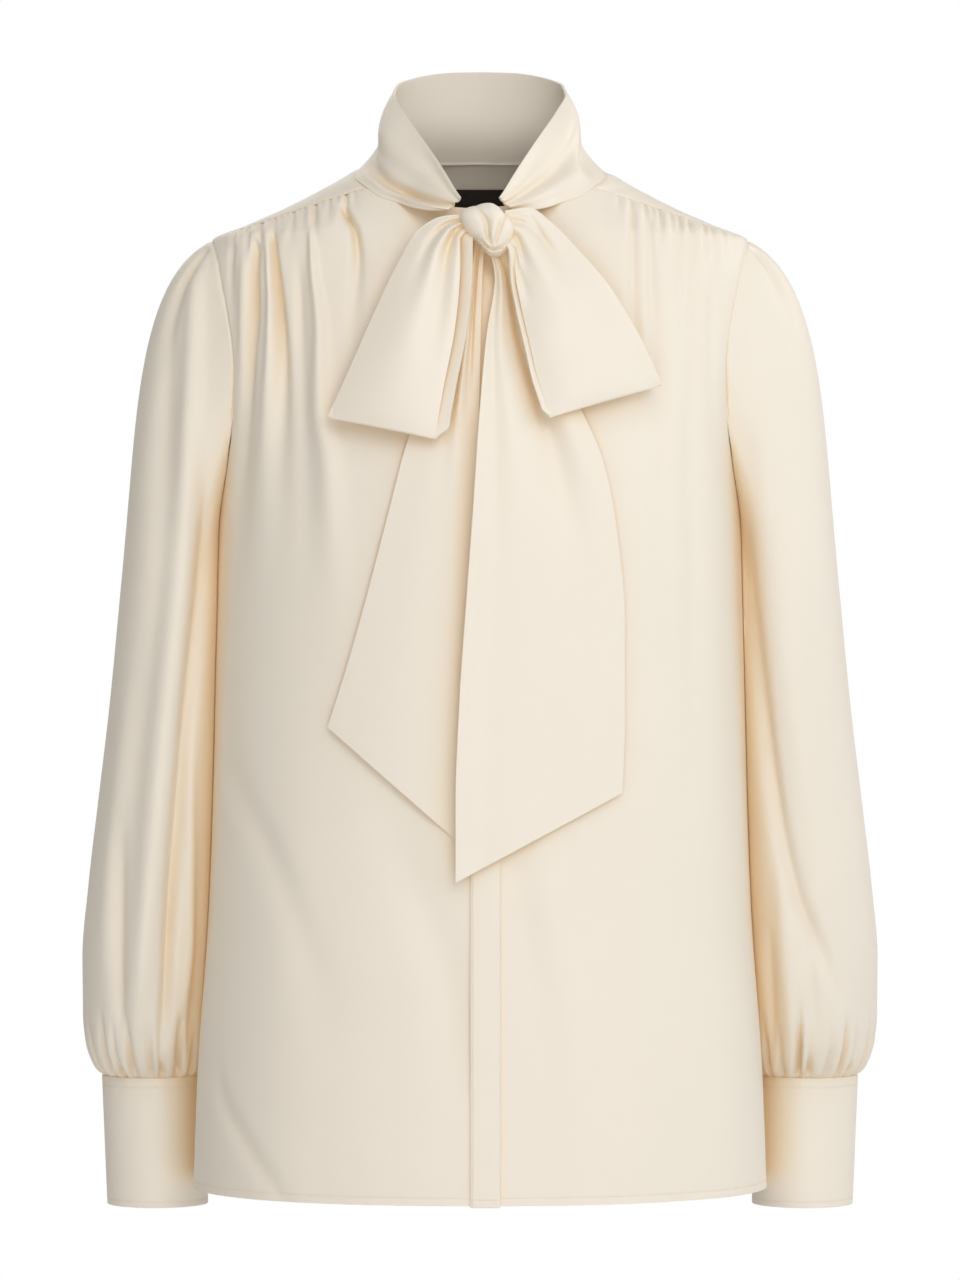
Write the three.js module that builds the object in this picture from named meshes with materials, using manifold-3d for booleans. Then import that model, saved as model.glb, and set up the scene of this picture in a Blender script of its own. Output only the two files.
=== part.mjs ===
// A tie-neck blouse, filled out as it is worn, with no wearer in it.
// Millimetres, +Z up, the front faces -Y and the wearer's left side is +X.
// The origin is between the shoulders, at the height of the base of the neck.
import * as THREE from "three";
import { mergeVertices } from "three/addons/utils/BufferGeometryUtils.js";
import Module from "manifold-3d";

const wasm = await Module();
wasm.setup();

// Driving dimensions
const CLOTH = 1.4; // wall of a single layer
const DOUBLED = 1.8; // wall of the collar and the tie, which are two layers
const CUFF_WALL = 2.2; // wall of a cuff, which is interfaced
const SEAM_GAP = 0.4; // between two pieces that are sewn together
const SQUARENESS = 2.2; // exponent of the body's sections: 2 is an ellipse
const HEM_Z = -656.5;
const UNDERARM_Z = -220;
const SHOULDER_TIP_Z = -34;
const YOKE_SEAM_Z = -105; // across the back
const PLACKET_LEFT_X = -6.3;
const PLACKET_RIGHT_X = 12.7;
const PLACKET_WALL = 1.3;
const CUFF_TOP_Z = -587.5;
const CUFF_BOTTOM_Z = -674;
const SLEEVE_GATHERS = 24;
const SLEEVE_CLEARANCE = 2; // between a sleeve and the body beside it
const PINCH_FULLNESS = 0.35; // what is left of a gather's depth at the seam that pinches it

const IVORY = 0xf1e6d4;
const LABEL_BLACK = 0x15120f;
const BUTTON_IVORY = 0xefe2cc;

// Sections of the body, from the neck to the hem
const BODY = [
  { z: 30, halfWidth: 52, front: 44, back: 56 },
  { z: 23, halfWidth: 63, front: 52, back: 61.5 },
  { z: 15, halfWidth: 77, front: 59, back: 68 },
  { z: 2, halfWidth: 100, front: 67, back: 76 },
  { z: -12, halfWidth: 127, front: 73, back: 83 },
  { z: -24, halfWidth: 154, front: 78, back: 88 },
  { z: -34, halfWidth: 177, front: 82, back: 91 },
  { z: -60, halfWidth: 185, front: 93, back: 98 },
  { z: -90, halfWidth: 183, front: 103.5, back: 104 },
  { z: -120, halfWidth: 178, front: 114, back: 107.5 },
  { z: -155, halfWidth: 173, front: 123, back: 108.5 },
  { z: -190, halfWidth: 171, front: 128, back: 106.5 },
  { z: -220, halfWidth: 172, front: 129, back: 105 },
  { z: -300, halfWidth: 174, front: 127.5, back: 100 },
  { z: -400, halfWidth: 176, front: 127, back: 99 },
  { z: -470, halfWidth: 178.5, front: 128, back: 102 },
  { z: -580, halfWidth: 186, front: 131.5, back: 110 },
  { z: -660, halfWidth: 189, front: 134, back: 115 },
];

// The neckline, by its angle round the neck from the front
const NECKLINE = [
  { angle: 0, z: -18 },
  { angle: 15, z: -16 },
  { angle: 28, z: -10.5 },
  { angle: 41, z: -2.5 },
  { angle: 58, z: 5 },
  { angle: 75, z: 11 },
  { angle: 90, z: 14.5 },
  { angle: 120, z: 18.5 },
  { angle: 150, z: 22 },
  { angle: 180, z: 23 },
];

// The armhole seam's distance from the middle, in front and behind
const ARMHOLE = [
  { z: -34, front: 177, back: 177 },
  { z: -37, front: 175.6, back: 176 },
  { z: -47, front: 172.3, back: 173.5 },
  { z: -66, front: 168.5, back: 170.5 },
  { z: -85, front: 164.7, back: 168 },
  { z: -104, front: 161.7, back: 166 },
  { z: -122, front: 160.3, back: 165 },
  { z: -150, front: 161, back: 165 },
  { z: -180, front: 164.5, back: 166.5 },
  { z: -205, front: 169, back: 169.5 },
  { z: -220, front: 172, back: 172 },
];

// The front shoulder seam runs from the neckline to the armhole, ahead of the shoulder's ridge
const SHOULDER_SEAM = { neckAngle: 41, neckZ: -2.5, tipZ: -37 };

// Gathers under the front shoulder seam: the share of the way from neck to armhole, depth and run
const YOKE_GATHERS = [
  { at: 0.05, depth: 0.6, run: 46 },
  { at: 0.14, depth: 1.2, run: 70 },
  { at: 0.24, depth: 0.9, run: 52 },
  { at: 0.35, depth: 1.4, run: 74 },
  { at: 0.43, depth: 1.0, run: 48 },
  { at: 0.51, depth: 1.1, run: 54 },
  { at: 0.61, depth: 1.3, run: 72 },
  { at: 0.7, depth: 1.0, run: 58 },
  { at: 0.8, depth: 0.9, run: 56 },
  { at: 0.91, depth: 0.5, run: 40 },
];

// Long soft folds down a front, from the gathers: distances from the middle, heights, breadth and depth
const FRONT_FOLDS = [
  { topX: 92, bottomX: 96, topZ: -20, bottomZ: -330, breadth: 13, depth: -3.2 },
  { topX: 112, bottomX: 113, topZ: -20, bottomZ: -400, breadth: 12, depth: 2.6 },
  { topX: 129, bottomX: 130, topZ: -25, bottomZ: -440, breadth: 11, depth: -3.4 },
  { topX: 145, bottomX: 143, topZ: -30, bottomZ: -380, breadth: 10, depth: 2.4 },
  { topX: 118, bottomX: 128, topZ: -420, bottomZ: -760, breadth: 24, depth: 2.6 },
  { topX: 78, bottomX: 84, topZ: -430, bottomZ: -760, breadth: 22, depth: -2.4 },
];

// Soft folds down the back, by distance from the middle
const BACK_FOLDS = [
  { topX: -112, bottomX: -122, topZ: -130, bottomZ: -760, breadth: 24, depth: -3.6 },
  { topX: -48, bottomX: -56, topZ: -120, bottomZ: -760, breadth: 26, depth: 3.2 },
  { topX: 6, bottomX: 8, topZ: -150, bottomZ: -760, breadth: 24, depth: -3.4 },
  { topX: 62, bottomX: 70, topZ: -120, bottomZ: -760, breadth: 26, depth: 3 },
  { topX: 118, bottomX: 126, topZ: -140, bottomZ: -760, breadth: 22, depth: -3.4 },
];

// Sections of a sleeve below the armhole
const SLEEVE = [
  { z: -262, outer: 237.5, inner: 166, middleY: 10, halfDepth: 57 },
  { z: -340, outer: 245.5, inner: 167, middleY: 17, halfDepth: 58 },
  { z: -400, outer: 253, inner: 168, middleY: 23, halfDepth: 58 },
  { z: -460, outer: 260.5, inner: 169, middleY: 30, halfDepth: 59 },
  { z: -510, outer: 265, inner: 171, middleY: 37, halfDepth: 59 },
  { z: -542, outer: 265, inner: 174, middleY: 42, halfDepth: 56 },
  { z: -564, outer: 262, inner: 178, middleY: 46, halfDepth: 50 },
  { z: -578, outer: 257.5, inner: 181, middleY: 49, halfDepth: 43 },
  { z: -587, outer: 252.5, inner: 184.5, middleY: 51, halfDepth: 36 },
];

// Long folds of a sleeve, by the angle round it from its outer side towards the front
const SLEEVE_FOLDS = [
  { topAngle: 12, bottomAngle: 27, topZ: -26, bottomZ: -128, breadth: 6, depth: -3.4 },
  { topAngle: 24, bottomAngle: 40, topZ: -26, bottomZ: -120, breadth: 8, depth: 2 },
  { topAngle: -14, bottomAngle: -30, topZ: -26, bottomZ: -124, breadth: 7, depth: -3 },
  { topAngle: 32, bottomAngle: 40, topZ: -60, bottomZ: -590, breadth: 13, depth: -3.6 },
  { topAngle: 62, bottomAngle: 70, topZ: -100, bottomZ: -590, breadth: 13, depth: 3 },
  { topAngle: 92, bottomAngle: 104, topZ: -150, bottomZ: -620, breadth: 12, depth: -3.6 },
  { topAngle: 130, bottomAngle: 138, topZ: -260, bottomZ: -620, breadth: 12, depth: 2.4 },
  { topAngle: -28, bottomAngle: -36, topZ: -60, bottomZ: -590, breadth: 14, depth: -3.2 },
  { topAngle: -66, bottomAngle: -72, topZ: -120, bottomZ: -590, breadth: 14, depth: 3 },
  { topAngle: -104, bottomAngle: -110, topZ: -180, bottomZ: -620, breadth: 13, depth: -3.4 },
];

// Sections of a cuff
const CUFF = [
  { z: CUFF_TOP_Z, outer: 253, inner: 184, middleY: 51, halfDepth: 36.5 },
  { z: -630, outer: 251, inner: 183, middleY: 52.5, halfDepth: 35.5 },
  { z: CUFF_BOTTOM_Z, outer: 249.6, inner: 182.2, middleY: 54, halfDepth: 35.5 },
];

// The standing collar: its folded top edge, by the neckline angle that it rises from
const COLLAR_TOP = [
  { angle: 6, x: 13, y: -99, z: -13 },
  { angle: 16, x: 22, y: -84, z: 3 },
  { angle: 32, x: 37, y: -55, z: 28 },
  { angle: 55, x: 50.5, y: -26, z: 50 },
  { angle: 80, x: 57, y: -2, z: 63.5 },
  { angle: 105, x: 55.5, y: 19, z: 71 },
  { angle: 135, x: 41, y: 38, z: 78.5 },
  { angle: 160, x: 20, y: 46.5, z: 82.3 },
  { angle: 180, x: 0, y: 49, z: 83 },
];

const KNOT = {
  x: 4, y: -105, z: -32, radiusX: 18, radiusY: 13.5, radiusZ: 19, squareness: 2.6, tilt: 16,
  pleatDepth: 0.055, pleatCount: 11,
};

// Bow loops and tails. Each row gives the two edges and the height off the body.
// "bulge" is half the space between a loop's two layers.
const RIGHT_LOOP = [
  { outerX: -8, outerZ: -24, innerX: -7, innerZ: -34, lift: 25, bulge: 1.5 },
  { outerX: -24, outerZ: -25.5, innerX: -12.5, innerZ: -42, lift: 25, bulge: 2.4 },
  { outerX: -39.5, outerZ: -34, innerX: -12.5, innerZ: -57, lift: 21, bulge: 4.4 },
  { outerX: -51.5, outerZ: -53.6, innerX: -13.5, innerZ: -76, lift: 17.5, bulge: 6 },
  { outerX: -66, outerZ: -84, innerX: -16.5, innerZ: -102, lift: 14.5, bulge: 6.8 },
  { outerX: -82, outerZ: -121, innerX: -23, innerZ: -136, lift: 14, bulge: 5.8 },
  { outerX: -93.5, outerZ: -147.5, innerX: -27, innerZ: -160, lift: 13.5, bulge: 4.6 },
  { outerX: -97, outerZ: -155.5, innerX: -27.5, innerZ: -170, lift: 13, bulge: 2.2 },
];
const LEFT_LOOP = [
  { outerX: 16, outerZ: -22, innerX: 15, innerZ: -36, lift: 25, bulge: 1.5 },
  { outerX: 31, outerZ: -20, innerX: 22, innerZ: -49, lift: 24.5, bulge: 2.4 },
  { outerX: 45, outerZ: -28.5, innerX: 23, innerZ: -66, lift: 21, bulge: 4 },
  { outerX: 62, outerZ: -46, innerX: 26.5, innerZ: -86, lift: 18, bulge: 5.6 },
  { outerX: 80, outerZ: -67, innerX: 31.5, innerZ: -108, lift: 17, bulge: 6.2 },
  { outerX: 98, outerZ: -95, innerX: 37, innerZ: -132, lift: 14, bulge: 5.4 },
  { outerX: 112, outerZ: -124, innerX: 42.5, innerZ: -149, lift: 13.5, bulge: 4.4 },
  { outerX: 116, outerZ: -134.5, innerX: 44, innerZ: -156, lift: 13, bulge: 2.2 },
];
const RIGHT_TAIL = [
  { leftX: -9, leftZ: -40, rightX: 3, rightZ: -42, lift: 14 },
  { leftX: -12, leftZ: -62, rightX: 1.5, rightZ: -64, lift: 9.5 },
  { leftX: -20, leftZ: -95, rightX: 0.5, rightZ: -100, lift: 6.4 },
  { leftX: -33, leftZ: -140, rightX: -0.5, rightZ: -150, lift: 4.6 },
  { leftX: -46, leftZ: -170, rightX: -1.5, rightZ: -200, lift: 4.4 },
  { leftX: -58, leftZ: -215, rightX: -3.5, rightZ: -262, lift: 4.4 },
  { leftX: -73, leftZ: -272, rightX: -7, rightZ: -330, lift: 4.4 },
  { leftX: -87.5, leftZ: -322, rightX: -11.5, rightZ: -385, lift: 4.4 },
  { leftX: -97.5, leftZ: -352.5, rightX: -15.5, rightZ: -424, lift: 4.4 },
];
const LEFT_TAIL = [
  { leftX: 5, leftZ: -44, rightX: 17, rightZ: -44, lift: 16 },
  { leftX: 9.5, leftZ: -66, rightX: 25, rightZ: -66, lift: 9.5 },
  { leftX: 4, leftZ: -104, rightX: 40, rightZ: -100, lift: 7.4 },
  { leftX: -0.5, leftZ: -155, rightX: 62, rightZ: -145, lift: 7 },
  { leftX: -4.5, leftZ: -215, rightX: 79, rightZ: -185, lift: 7 },
  { leftX: -8.5, leftZ: -270, rightX: 88, rightZ: -232, lift: 7 },
  { leftX: -13, leftZ: -335, rightX: 92.5, rightZ: -285, lift: 7 },
  { leftX: -15.5, leftZ: -400, rightX: 92.5, rightZ: -345, lift: 7 },
  { leftX: -15.5, leftZ: -451, rightX: 91, rightZ: -394.5, lift: 7 },
];

const LABEL = { middleX: 4, halfWidth: 28, topZ: 7, height: 24, wall: 0.6, behind: 1.35 };
const CUFF_BUTTON = { radius: 5.5, thickness: 2.4, angle: -72, heights: [-608, -650] };

const lerp = THREE.MathUtils.lerp;
const smooth = (from, to, value) => {
  const t = THREE.MathUtils.clamp((value - from) / (to - from), 0, 1);
  return t * t * (3 - 2 * t);
};
const radians = THREE.MathUtils.degToRad;
const signedPower = (value, power) => Math.sign(value) * Math.abs(value) ** power;

// A smooth curve through one column of a table, with no overshoot between its rows
function curveOf(table, key, column) {
  const rows = [...table].sort((p, q) => p[key] - q[key]);
  const k = rows.map((row) => row[key]);
  const v = rows.map((row) => row[column]);
  const slopes = k.slice(1).map((end, i) => (v[i + 1] - v[i]) / (end - k[i]));
  const tangents = k.map((_, i) => {
    if (i === 0) return slopes[0];
    if (i === k.length - 1) return slopes[i - 1];
    const [before, after] = [slopes[i - 1], slopes[i]];
    return before * after <= 0 ? 0 : (2 * before * after) / (before + after);
  });
  return (at) => {
    const place = THREE.MathUtils.clamp(at, k[0], k[k.length - 1]);
    let i = 0;
    while (i < k.length - 2 && place > k[i + 1]) i += 1;
    const step = k[i + 1] - k[i];
    const t = (place - k[i]) / step;
    const t2 = t * t;
    const t3 = t2 * t;
    return (
      (2 * t3 - 3 * t2 + 1) * v[i] +
      (t3 - 2 * t2 + t) * step * tangents[i] +
      (3 * t2 - 2 * t3) * v[i + 1] +
      (t3 - t2) * step * tangents[i + 1]
    );
  };
}

const halfWidthAt = curveOf(BODY, "z", "halfWidth");
const frontAt = curveOf(BODY, "z", "front");
const backAt = curveOf(BODY, "z", "back");
const necklineAt = curveOf(NECKLINE, "angle", "z");
const armholeAt = { front: curveOf(ARMHOLE, "z", "front"), back: curveOf(ARMHOLE, "z", "back") };

// A point of the body's surface at an angle round its section: 0 is the front, 90 is +X
function ringPoint(angle, z) {
  const power = 2 / SQUARENESS;
  const [s, c] = [Math.sin(radians(angle)), Math.cos(radians(angle))];
  const depth = c > 0 ? frontAt(z) : backAt(z);
  const [x, y] = [halfWidthAt(z) * signedPower(s, power), -depth * signedPower(c, power)];
  return new THREE.Vector3(x, y, z);
}

// A point of the body's surface at a distance from the middle, in front or behind
function facePoint(x, z, face) {
  const share = Math.min(1, Math.abs(x) / halfWidthAt(z));
  const depth = face === "front" ? -frontAt(z) : backAt(z);
  return new THREE.Vector3(x, depth * (1 - share ** SQUARENESS) ** (1 / SQUARENESS), z);
}

// The angle round the section of a point at a distance from the middle
function angleOf(x, z, face) {
  const share = Math.min(1, Math.abs(x) / halfWidthAt(z));
  const angle = THREE.MathUtils.radToDeg(Math.asin(share ** (SQUARENESS / 2)));
  return face === "front" ? angle : 180 - angle;
}

// How full a section is at a point: 1 on the surface, and the outward normal is its gradient
function fullness(x, y, z) {
  const depth = y < 0 ? frontAt(z) : backAt(z);
  return (Math.abs(x) / halfWidthAt(z)) ** SQUARENESS + (Math.abs(y) / depth) ** SQUARENESS;
}

function bodyGradient(p) {
  const h = 0.5;
  return new THREE.Vector3(
    fullness(p.x + h, p.y, p.z) - fullness(p.x - h, p.y, p.z),
    fullness(p.x, p.y + h, p.z) - fullness(p.x, p.y - h, p.z),
    fullness(p.x, p.y, p.z + h) - fullness(p.x, p.y, p.z - h),
  ).divideScalar(2 * h);
}

const bodyNormal = (p) => bodyGradient(p).normalize();

// A share of the way between two points of the body, brought out to its surface
function acrossBody(from, to, share) {
  const p = from.clone().lerp(to, share);
  if (share <= 0 || share >= 1) return p;
  for (let i = 0; i < 6; i += 1) {
    const gradient = bodyGradient(p);
    p.addScaledVector(gradient, (1 - fullness(p.x, p.y, p.z)) / gradient.lengthSq());
  }
  return p;
}

// Half the width of the body at a depth, for keeping the sleeves clear of it
function bodySideAt(y, z) {
  const depth = y < 0 ? frontAt(z) : backAt(z);
  const share = Math.min(1, Math.abs(y) / depth);
  return halfWidthAt(z) * (1 - share ** SQUARENESS) ** (1 / SQUARENESS);
}

// The height of a set of folds at a place: across is x or an angle, and top and bottom name its columns
function foldHeight(folds, across, z, top, bottom) {
  return folds.reduce((sum, fold) => {
    const down = THREE.MathUtils.clamp((fold.topZ - z) / (fold.topZ - fold.bottomZ), 0, 1);
    const off = (across - lerp(fold[top], fold[bottom], down)) / fold.breadth;
    return sum + fold.depth * Math.sin(Math.PI * down) ** 0.7 * Math.exp(-off * off);
  }, 0);
}

// A wave with a pinch at each of a list of places and a crest halfway between
function gatherWave(place, pinches) {
  if (place <= pinches[0] || place >= pinches[pinches.length - 1]) return 0;
  let i = 0;
  while (place > pinches[i + 1]) i += 1;
  const share = (place - pinches[i]) / (pinches[i + 1] - pinches[i]);
  return -Math.cos(2 * Math.PI * share);
}

// Triangles between two rows of points, which may have different numbers of points
function strip(from, to, fromStart, toStart, closed, out) {
  const [n, m] = [from.length, to.length];
  const [a, b] = closed ? [n, m] : [n - 1, m - 1];
  let i = 0;
  let j = 0;
  const share = (row, index) => (index < row.length ? row[index].share : 1);
  while (i < a || j < b) {
    const nextI = i < a ? share(from, i + 1) : Infinity;
    const nextJ = j < b ? share(to, j + 1) : Infinity;
    const advanceFrom = nextI === nextJ ? i / a <= j / b : nextI < nextJ;
    const p = fromStart + (i % n);
    const q = toStart + (j % m);
    if (advanceFrom) {
      out.push(p, fromStart + ((i + 1) % n), q);
      i += 1;
    } else {
      out.push(p, toStart + ((j + 1) % m), q);
      j += 1;
    }
  }
}

// A closed wall from rows of surface points. Each point has its place, its normal and its share of the row.
// "grow" thickens the wall on both faces, for cutting clearance into a neighbour.
function wallGeometry(rows, thickness, { closed = false, grow = 0 } = {}) {
  const places = [];
  const triangles = [];
  const starts = rows.map((row) => {
    const start = places.length;
    row.forEach((s) => places.push(s.p.clone().addScaledVector(s.n, grow)));
    return start;
  });
  const inner = places.length;
  rows.forEach((row) =>
    row.forEach((s) => places.push(s.p.clone().addScaledVector(s.n, -thickness - grow))),
  );
  const outerFaces = [];
  rows.slice(1).forEach((row, r) => strip(rows[r], row, starts[r], starts[r + 1], closed, outerFaces));
  for (let t = 0; t < outerFaces.length; t += 3) {
    const [p, q, r] = outerFaces.slice(t, t + 3);
    triangles.push(p, q, r, inner + p, inner + r, inner + q);
  }
  const rim = (indices) => {
    indices.slice(1).forEach((next, i) => {
      const last = indices[i];
      triangles.push(next, last, inner + last, next, inner + last, inner + next);
    });
  };
  const first = rows[0].map((_, i) => i);
  const last = rows[rows.length - 1].map((_, i) => starts[rows.length - 1] + i);
  if (closed) {
    rim([...first, first[0]]);
    rim([last[0], ...last.slice(1).reverse(), last[0]]);
  } else {
    const left = rows.map((_, r) => starts[r]);
    const right = rows.map((row, r) => starts[r] + row.length - 1);
    const back = [...last.slice(0, -1).reverse(), ...left.slice(0, -1).reverse()];
    rim([...first, ...right.slice(1), ...back]);
  }
  const flat = new Float32Array(places.flatMap((p) => [p.x, p.y, p.z]));
  const geometry = new THREE.BufferGeometry();
  geometry.setAttribute("position", new THREE.BufferAttribute(flat, 3));
  geometry.setIndex(triangles);
  return facingOut(geometry);
}

function signedVolume(geometry) {
  const [p, index] = [geometry.getAttribute("position"), geometry.getIndex()];
  const [a, b, c] = [new THREE.Vector3(), new THREE.Vector3(), new THREE.Vector3()];
  let volume = 0;
  for (let i = 0; i < index.count; i += 3) {
    a.fromBufferAttribute(p, index.getX(i));
    b.fromBufferAttribute(p, index.getX(i + 1));
    c.fromBufferAttribute(p, index.getX(i + 2));
    volume += a.dot(b.cross(c)) / 6;
  }
  return volume;
}

function facingOut(geometry) {
  if (signedVolume(geometry) < 0) {
    const index = geometry.getIndex();
    for (let i = 0; i < index.count; i += 3) {
      const second = index.getX(i + 1);
      index.setX(i + 1, index.getX(i + 2));
      index.setX(i + 2, second);
    }
  }
  return geometry;
}

function solidOf(geometry) {
  const bare = geometry.clone();
  bare.deleteAttribute("normal");
  bare.deleteAttribute("uv");
  const merged = mergeVertices(bare, 1e-4);
  return new wasm.Manifold(
    new wasm.Mesh({
      numProp: 3,
      vertProperties: new Float32Array(merged.getAttribute("position").array),
      triVerts: new Uint32Array(merged.getIndex().array),
    }),
  );
}

// The largest body of a solid that cutting may have left in several pieces
function geometryOf(solid) {
  const bodies = solid.decompose().sort((p, q) => q.volume() - p.volume());
  const mesh = bodies[0].getMesh();
  const geometry = new THREE.BufferGeometry();
  const places = new THREE.BufferAttribute(new Float32Array(mesh.vertProperties), 3);
  geometry.setAttribute("position", places);
  geometry.setIndex(new THREE.BufferAttribute(new Uint32Array(mesh.triVerts), 1));
  return geometry;
}

function cut(geometry, ...tools) {
  const left = tools.reduce((solid, tool) => solid.subtract(solidOf(tool)), solidOf(geometry));
  return geometryOf(left);
}

// Each seam edge draws back by half the gap, square to the seam and along the surface
// "centre" is a point that the first row draws towards, where the row inside it folds back over the seam.
const ALL_EDGES = { first: true, last: true, left: true, right: true, closed: false };

function drawBack(rows, options = {}) {
  const { first, last, left, right, closed, centre } = { ...ALL_EDGES, ...options };
  const near = (row, share) =>
    row.reduce((best, s) => (Math.abs(s.share - share) < Math.abs(best.share - share) ? s : best), row[0]);
  const end = rows.length - 1;
  const edges = [];
  const inwards = (s) => (centre ? { p: centre } : near(rows[1], s.share));
  if (first) edges.push([rows[0], rows[0].map(inwards), closed]);
  if (last) edges.push([rows[end], rows[end].map((s) => near(rows[end - 1], s.share)), closed]);
  if (left) edges.push([rows.map((row) => row[0]), rows.map((row) => row[1]), false]);
  if (right) edges.push([rows.map((row) => row.at(-1)), rows.map((row) => row.at(-2)), false]);
  const moves = new Map();
  edges.forEach(([edge, inside, round]) => {
    const count = edge.length;
    edge.forEach((s, i) => {
      const next = edge[round ? (i + 1) % count : Math.min(i + 1, count - 1)];
      const before = edge[round ? (i + count - 1) % count : Math.max(i - 1, 0)];
      const way = next.p.clone().sub(before.p).cross(s.n).normalize();
      if (way.dot(inside[i].p.clone().sub(s.p)) < 0) way.negate();
      moves.set(s, (moves.get(s) ?? new THREE.Vector3()).addScaledVector(way, SEAM_GAP / 2));
    });
  });
  moves.forEach((move, s) => s.p.add(move));
  return rows;
}

const sample = (p, n, share, height = 0) => ({ p: p.clone().addScaledVector(n, height), n, share });

// The front shoulder seam at a share of the way from the neck to the armhole
function seamAt(share) {
  const neck = ringPoint(SHOULDER_SEAM.neckAngle, SHOULDER_SEAM.neckZ);
  const tip = facePoint(armholeAt.front(SHOULDER_SEAM.tipZ), SHOULDER_SEAM.tipZ, "front");
  return acrossBody(neck, tip, share);
}

// A front, from the middle edge to the side seam. side is 1 for the wearer's left.
const NECK_SHARE = 0.3; // of a front's columns run from the neckline
const NECK_COLUMNS = 6;
const SEAM_COLUMNS = 14;
const SIDE_LEVELS = [
  -37, -43, -52, -65, -85, -108, -136, -164, -194, -210, -220, -280, -350, -430, -510, -590, HEM_Z,
];
const FINE_FRONT_ROWS = 4;
const NECK_BEND = 0.9; // bunches the neckline's columns towards the middle
const sideShare = (z) => (SIDE_LEVELS[0] - z) / (SIDE_LEVELS[0] - HEM_Z);

function frontPanel(side, middleX) {
  const pinches = [0, ...YOKE_GATHERS.map((g) => g.at), 1];
  const fineSeam = pinches.slice(1).flatMap((to, i) => {
    const from = pinches[i];
    return [0.25, 0.5, 0.75, 1].map((part) => lerp(from, to, part));
  });
  const coarseSeam = Array.from({ length: SEAM_COLUMNS }, (_, i) => (i + 1) / SEAM_COLUMNS);
  const neck = Array.from({ length: NECK_COLUMNS + 1 }, (_, i) => (i / NECK_COLUMNS) * NECK_SHARE);
  const columns = (seam) => [...neck, ...seam.map((s) => NECK_SHARE + s * (1 - NECK_SHARE))];
  const tipX = armholeAt.front(SHOULDER_SEAM.tipZ);
  const neckX = ringPoint(SHOULDER_SEAM.neckAngle, SHOULDER_SEAM.neckZ).x;
  const startShare = Math.asin(middleX / halfWidthAt(HEM_Z));
  const topOf = (share) => {
    if (share > NECK_SHARE) return seamAt((share - NECK_SHARE) / (1 - NECK_SHARE));
    const x = lerp(middleX, neckX, share / NECK_SHARE);
    const angle = (share / NECK_SHARE) ** NECK_BEND * SHOULDER_SEAM.neckAngle;
    return new THREE.Vector3(x, 0, necklineAt(angle));
  };
  const edgeX = (z) => (z > UNDERARM_Z ? armholeAt.front(Math.min(z, SHOULDER_SEAM.tipZ)) : halfWidthAt(z));
  const rows = SIDE_LEVELS.map((level, r) => {
    const down = sideShare(level);
    const shares = columns(r < FINE_FRONT_ROWS ? fineSeam : coarseSeam);
    return shares.map((share) => {
      const top = topOf(share);
      const z = lerp(top.z, HEM_Z, down);
      const settled = smooth(top.z, UNDERARM_Z, z);
      const spread = Math.sin(lerp(startShare, Math.PI / 2, share));
      const x = edgeX(z) * lerp(top.x / tipX, spread, settled);
      const place = facePoint(Math.min(x, halfWidthAt(z)), z, "front");
      const normal = bodyNormal(place);
      const below = top.z - z;
      const alongSeam = (share - NECK_SHARE) / (1 - NECK_SHARE);
      const wave = gatherWave(alongSeam, pinches);
      const nearest = YOKE_GATHERS.reduce((best, g) =>
        Math.abs(g.at - alongSeam) < Math.abs(best.at - alongSeam) ? g : best,
      );
      const fade = r < FINE_FRONT_ROWS ? 1 - smooth(0.2 * nearest.run, nearest.run, below) : 0;
      const rise = lerp(PINCH_FULLNESS, 1, smooth(0, 9, below));
      const still = smooth(0, 12, edgeX(z) - x) * smooth(40, 70, x);
      const folds = foldHeight(FRONT_FOLDS, x, z, "topX", "bottomX") * still * smooth(8, 60, below);
      const height = wave * nearest.depth * fade * rise + folds;
      place.x *= side;
      normal.x *= side;
      return sample(place, normal, share, height);
    });
  });
  return wallGeometry(drawBack(rows, { last: false }), CLOTH);
}

// The back, below the yoke seam, from side seam to side seam
const BACK_COLUMNS = 24;
const BACK_LEVELS = [
  YOKE_SEAM_Z, -118, -140, -168, -195, -210, UNDERARM_Z, -280, -350, -430, -510, -590, HEM_Z,
];

function backPanel() {
  const rows = BACK_LEVELS.map((z) =>
    Array.from({ length: BACK_COLUMNS + 1 }, (_, i) => {
      const share = i / BACK_COLUMNS;
      const edge = z > UNDERARM_Z ? armholeAt.back(z) : halfWidthAt(z);
      const x = edge * Math.sin(lerp(-Math.PI / 2, Math.PI / 2, share));
      const place = facePoint(x, z, "back");
      const still = smooth(0, 14, edge - Math.abs(x)) * smooth(YOKE_SEAM_Z, YOKE_SEAM_Z - 40, z);
      const height = foldHeight(BACK_FOLDS, x, z, "topX", "bottomX") * still;
      return sample(place, bodyNormal(place), share, height);
    }),
  );
  return wallGeometry(drawBack(rows, { last: false }), CLOTH);
}

// The yoke, over both shoulders and across the upper back
const YOKE_COLUMNS = 14; // on each half
const YOKE_FRONT_COLUMNS = 2; // of them, ahead of the shoulder's ridge
const YOKE_ARM_COLUMNS = 5; // and from there down the back of the armhole
const YOKE_ROWS = 5;

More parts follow.
